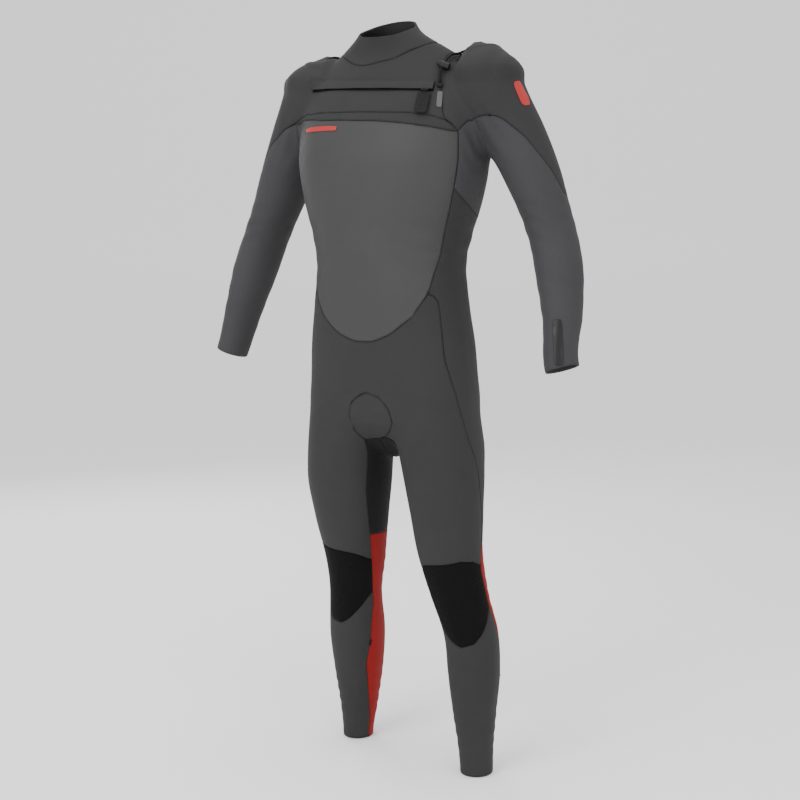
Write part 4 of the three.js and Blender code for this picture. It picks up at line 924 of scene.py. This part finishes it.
class OBJECT_OT_wetsuit_strap(bpy.types.Operator):
    """Hangs the pull strap on the slider's pin: a superellipse pad with two bars, each a bell curve
    across it, and a tube and a neck of straight sections about the pin"""

    bl_idname = "object.wetsuit_strap"
    bl_label = "Pull strap"

    def execute(self, context):
        tangent = zip_across * math.cos(math.radians(SLIDER_AT)) + Y * math.sin(math.radians(SLIDER_AT))
        top, length, lift, thickness = -11.4 * MM, 46 * MM, 2.6 * MM, 2.0 * MM

        def place(long, wide, height):
            spot = zip_spot(SLIDER_AT, lift + height, top - length / 2 + long)
            return spot + wide[..., None] * tangent

        def bars(long, wide):
            across = np.clip((9.0 * MM - np.abs(wide)) / (1.2 * MM), 0, 1)
            row = sum(np.exp(-(((long - at * MM) / (1.5 * MM)) ** 2)) for at in (-6, 3))
            return 0.7 * MM * across * row

        piece = pad(
            "pull_strap_cloth", place, length / 2, 12 * MM, thickness, 9.0, bars, around=120, rings=40,
        )
        dress(piece, "webbing")
        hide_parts("zip_pull_strap")
        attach(piece, "strap")

        # The strap's end wraps the pin: a tube about the pin that opens into the strap.
        off, up, radius = 5.35 * MM, -8.6 * MM, 2.15 * MM
        turn = np.linspace(0, 2 * np.pi, 40, endpoint=False)[None]
        along = np.linspace(-4.1, 4.1, 12)[:, None] * MM

        def around_pin(radius):
            ring = zip_spot(SLIDER_AT, off + radius * np.cos(turn), up + radius * np.sin(turn))
            return ring + along[..., None] * tangent

        grid = np.concatenate([around_pin(radius), around_pin(1.0 * MM)[::-1]])
        knuckle = surface("pull_strap_knuckle", grid, wrap_rows=True, wrap_columns=True)
        dress(knuckle, "webbing")
        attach(knuckle, "strap")
        neck_off = np.array([3.35, 4.9, 4.6, 2.7, 2.7, 3.1]) * MM
        neck_up = np.array([-9.0, -10.2, -13.4, -13.4, -11.4, -10.4]) * MM
        ring = zip_spot(SLIDER_AT, neck_off, neck_up)
        grid = ring[None] + along[..., None] * tangent
        tips = [end.mean(axis=1, keepdims=True).repeat(6, 1) for end in (grid[:1], grid[-1:])]
        neck = surface("pull_strap_neck", np.concatenate([tips[0], grid, tips[1]]), wrap_columns=True)
        dress(neck, "webbing")
        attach(neck, "strap")
        return {"FINISHED"}


# The cord's middle line: a point on the neoprene, and how far off it, in the order it runs down.
CORD_ROUTE = [
    ((152, 30, 1404), 3.2), ((150, 14, 1408), 3.6), ((144, 0, 1404), 4.6), ((137, -12, 1396), 6.4),
    ((132, -22, 1386), 7.8), ((130, -32, 1375), 8.2), ((129, -41, 1363), 8.2), ((130, -48, 1351), 7.6),
    ((133, -54, 1340), 5.4),
]


def through(points, count):
    """A smooth line through the points: centripetal Catmull-Rom, sampled at even lengths."""
    points = np.asarray(points)
    points = np.concatenate([[2 * points[0] - points[1]], points, [2 * points[-1] - points[-2]]])
    fine = []
    for a, b, c, d in zip(points, points[1:], points[2:], points[3:]):
        k = np.cumsum([0] + [np.linalg.norm(q - p) ** 0.5 for p, q in ((a, b), (b, c), (c, d))])
        t = np.linspace(k[1], k[2], 24, endpoint=False)[:, None]
        ab = (k[1] - t) / (k[1] - k[0]) * a + (t - k[0]) / (k[1] - k[0]) * b
        bc = (k[2] - t) / (k[2] - k[1]) * b + (t - k[1]) / (k[2] - k[1]) * c
        cd = (k[3] - t) / (k[3] - k[2]) * c + (t - k[2]) / (k[3] - k[2]) * d
        near = (k[2] - t) / (k[2] - k[0]) * ab + (t - k[0]) / (k[2] - k[0]) * bc
        far = (k[3] - t) / (k[3] - k[1]) * bc + (t - k[1]) / (k[3] - k[1]) * cd
        fine.append((k[2] - t) / (k[2] - k[1]) * near + (t - k[1]) / (k[2] - k[1]) * far)
    fine = np.concatenate([*fine, points[-2:-1]])
    run = np.concatenate([[0], np.cumsum(np.linalg.norm(np.diff(fine, axis=0), axis=1))])
    even = np.linspace(0, run[-1], count)
    return np.stack([np.interp(even, run, fine[:, k]) for k in range(3)], axis=1)


def tube(name, line, radius, around=20, end_radius=0.35):
    """A round tube along a line, its ends domed."""
    way = np.gradient(line, axis=0)
    way /= np.linalg.norm(way, axis=1, keepdims=True)
    side = np.cross(way, X)
    side /= np.linalg.norm(side, axis=1, keepdims=True)
    other = np.cross(way, side)
    turn = np.linspace(0, 2 * np.pi, around, endpoint=False)
    size = np.full(len(line), radius)
    size[0] = size[-1] = radius * end_radius
    ring = np.cos(turn)[None, :, None] * side[:, None] + np.sin(turn)[None, :, None] * other[:, None]
    grid = line[:, None] + size[:, None, None] * ring
    tips = [np.repeat(line[None, :1], around, 1), np.repeat(line[None, -1:], around, 1)]
    return surface(name, np.concatenate([tips[0], grid, tips[1]]), wrap_columns=True)


def cord_line():
    """The neck cord's middle line, in the row frame."""
    places = np.array([spot for spot, _ in CORD_ROUTE]) * MM + SHIFT
    lifts = np.array([lift for _, lift in CORD_ROUTE]) * MM
    ground = settle(places, steps=8)
    return through(ground + lifts[:, None] * outward(ground), 120)


class OBJECT_OT_wetsuit_cord(bpy.types.Operator):
    """Runs the neck cord through its lock, with its two tabs: circles carried along a smooth line
    through chosen points, each lifted off the neoprene along its normal"""

    bl_idname = "object.wetsuit_cord"
    bl_label = "Neck cord"

    def execute(self, context):
        line = cord_line()
        piece = tube("neck_cord_braid", line, context.scene.wetsuit_sizes.cord / 2, around=24)
        dress(piece, "cord")
        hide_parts("neck_cord")
        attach(piece, "suit")
        tabs = [("cord_tab_shoulder", line[0], line[3], 12), ("cord_tab_chest", line[-1], line[-4], 9)]
        for node, tip, before, length in tabs:
            way = (tip - before) / np.linalg.norm(tip - before)
            far = tip + way * length * MM
            place, half_long = on_cloth((tip + way * 0.5 * MM - SHIFT) / MM, (far - SHIFT) / MM)
            tab = pad(node + "_cloth", raised(place, 1.0 * MM), half_long, 5 * MM, 4.6 * MM, 4.0)
            dress(tab, "webbing")
            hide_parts(node)
            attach(tab, "suit")
        return {"FINISHED"}


class OBJECT_OT_wetsuit_hardware(bpy.types.Operator):
    """Finishes the zip, the slider, the cord lock and the hang loop"""

    bl_idname = "object.wetsuit_hardware"
    bl_label = "Hardware"

    FINISHES = {
        "black_plastic": [
            "zip_chain_upper", "zip_chain_lower", "zip_slider", "cord_lock_body", "cord_lock_button",
        ],
        "webbing": ["zip_tape_upper", "zip_tape_lower", "hang_loop"],
        "spring_steel": ["zip_slider_pin", "cord_lock_spring"],
    }

    def execute(self, context):
        for material, nodes in self.FINISHES.items():
            for node in nodes:
                dress(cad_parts[node], material)
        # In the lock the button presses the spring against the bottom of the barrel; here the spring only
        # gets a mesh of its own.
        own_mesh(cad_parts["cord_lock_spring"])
        return {"FINISHED"}


# ------------------------------------------------------------------ the stage
def area_light(name, place, target, size, power, colour=(1, 1, 1)):
    """A square soft light that faces the target."""
    light = bpy.data.lights.new(name, "AREA")
    light.shape, light.size, light.energy, light.color = "SQUARE", size, power, colour
    made = bpy.data.objects.new(name, light)
    made.location = place
    made.rotation_euler = (Vector(target) - Vector(place)).to_track_quat("-Z", "Y").to_euler()
    bpy.context.collection.objects.link(made)
    return made


class OBJECT_OT_wetsuit_stage(bpy.types.Operator):
    """Sets the pale floor, the soft lights and the camera"""

    bl_idname = "object.wetsuit_stage"
    bl_label = "Stage"

    def execute(self, context):
        # A floor that sweeps up far behind the suit.
        reach = np.linspace(-8, 8, 3)
        sweep = np.array([(-6, -0.002), (6, -0.002), (7, 0.1), (7.7, 0.5), (8, 1.2), (8, 8)])
        toward = np.array([-0.5, 0.866])
        aside = np.array([0.866, 0.5])
        grid = np.zeros((len(sweep), len(reach), 3))
        grid[..., :2] = sweep[:, None, :1] * toward + reach[None, :, None] * aside * 1.6
        grid[..., 2] = sweep[:, None, 1]
        floor = surface("floor", grid)
        pale = Recipe("floor_paper", (0.95, 0.95, 0.95), 0.95)
        floor.data.materials.append(pale.material)
        middle = (0, 0, 0.85)
        area_light("key", (-0.7, -3.4, 2.6), middle, 2.2, 95)
        area_light("fill", (3.2, -2.0, 1.5), middle, 2.6, 48)
        area_light("crown", (0.2, -0.3, 3.4), middle, 2.4, 34)
        area_light("rim", (-2.6, 1.8, 2.0), middle, 1.6, 36)
        world = bpy.data.worlds.new("studio")
        world.use_nodes = True
        world.node_tree.nodes["Background"].inputs[0].default_value = (1, 1, 1, 1)
        world.node_tree.nodes["Background"].inputs[1].default_value = 1.15
        context.scene.world = world
        camera = bpy.data.objects.new("camera", bpy.data.cameras.new("camera"))
        context.collection.objects.link(camera)
        camera.data.sensor_width = 36
        camera.data.lens = 63.6
        camera.location = Vector((1.4120, -2.4180, 1.0480)) + Vector(SHIFT)
        target = Vector((0.0120, 0.0070, 0.7330)) + Vector(SHIFT)
        camera.rotation_euler = (target - camera.location).to_track_quat("-Z", "Y").to_euler()
        context.scene.camera = camera
        return {"FINISHED"}


class VIEW3D_PT_wetsuit(bpy.types.Panel):
    """Lists the wetsuit's makers and settings"""

    bl_idname = "VIEW3D_PT_wetsuit"
    bl_label = "Wetsuit"
    bl_space_type = "VIEW_3D"
    bl_region_type = "UI"
    bl_category = "Wetsuit"

    def draw(self, context):
        for operator in OPERATORS:
            self.layout.operator(operator.bl_idname)
        for group in (context.scene.wetsuit_sizes, context.scene.wetsuit_colours):
            box = self.layout.box()
            for key in group.__annotations__:
                box.prop(group, key)


OPERATORS = [
    OBJECT_OT_wetsuit_stage, OBJECT_OT_wetsuit_panels, OBJECT_OT_wetsuit_flap, OBJECT_OT_wetsuit_strap,
    OBJECT_OT_wetsuit_cord, OBJECT_OT_wetsuit_badges, OBJECT_OT_wetsuit_hardware,
]
CLASSES = [WetsuitSizes, WetsuitColours, *OPERATORS, VIEW3D_PT_wetsuit]


def register():
    for item in CLASSES:
        bpy.utils.register_class(item)
    bpy.types.Scene.wetsuit_sizes = bpy.props.PointerProperty(type=WetsuitSizes)
    bpy.types.Scene.wetsuit_colours = bpy.props.PointerProperty(type=WetsuitColours)


def unregister():
    del bpy.types.Scene.wetsuit_colours
    del bpy.types.Scene.wetsuit_sizes
    for item in reversed(CLASSES):
        bpy.utils.unregister_class(item)


def main():
    register()
    bpy.ops.object.wetsuit_stage()
    bpy.ops.object.wetsuit_panels()
    bpy.ops.object.wetsuit_flap()
    bpy.ops.object.wetsuit_strap()
    bpy.ops.object.wetsuit_cord()
    bpy.ops.object.wetsuit_badges()
    bpy.ops.object.wetsuit_hardware()


if __name__ == "__main__":
    main()
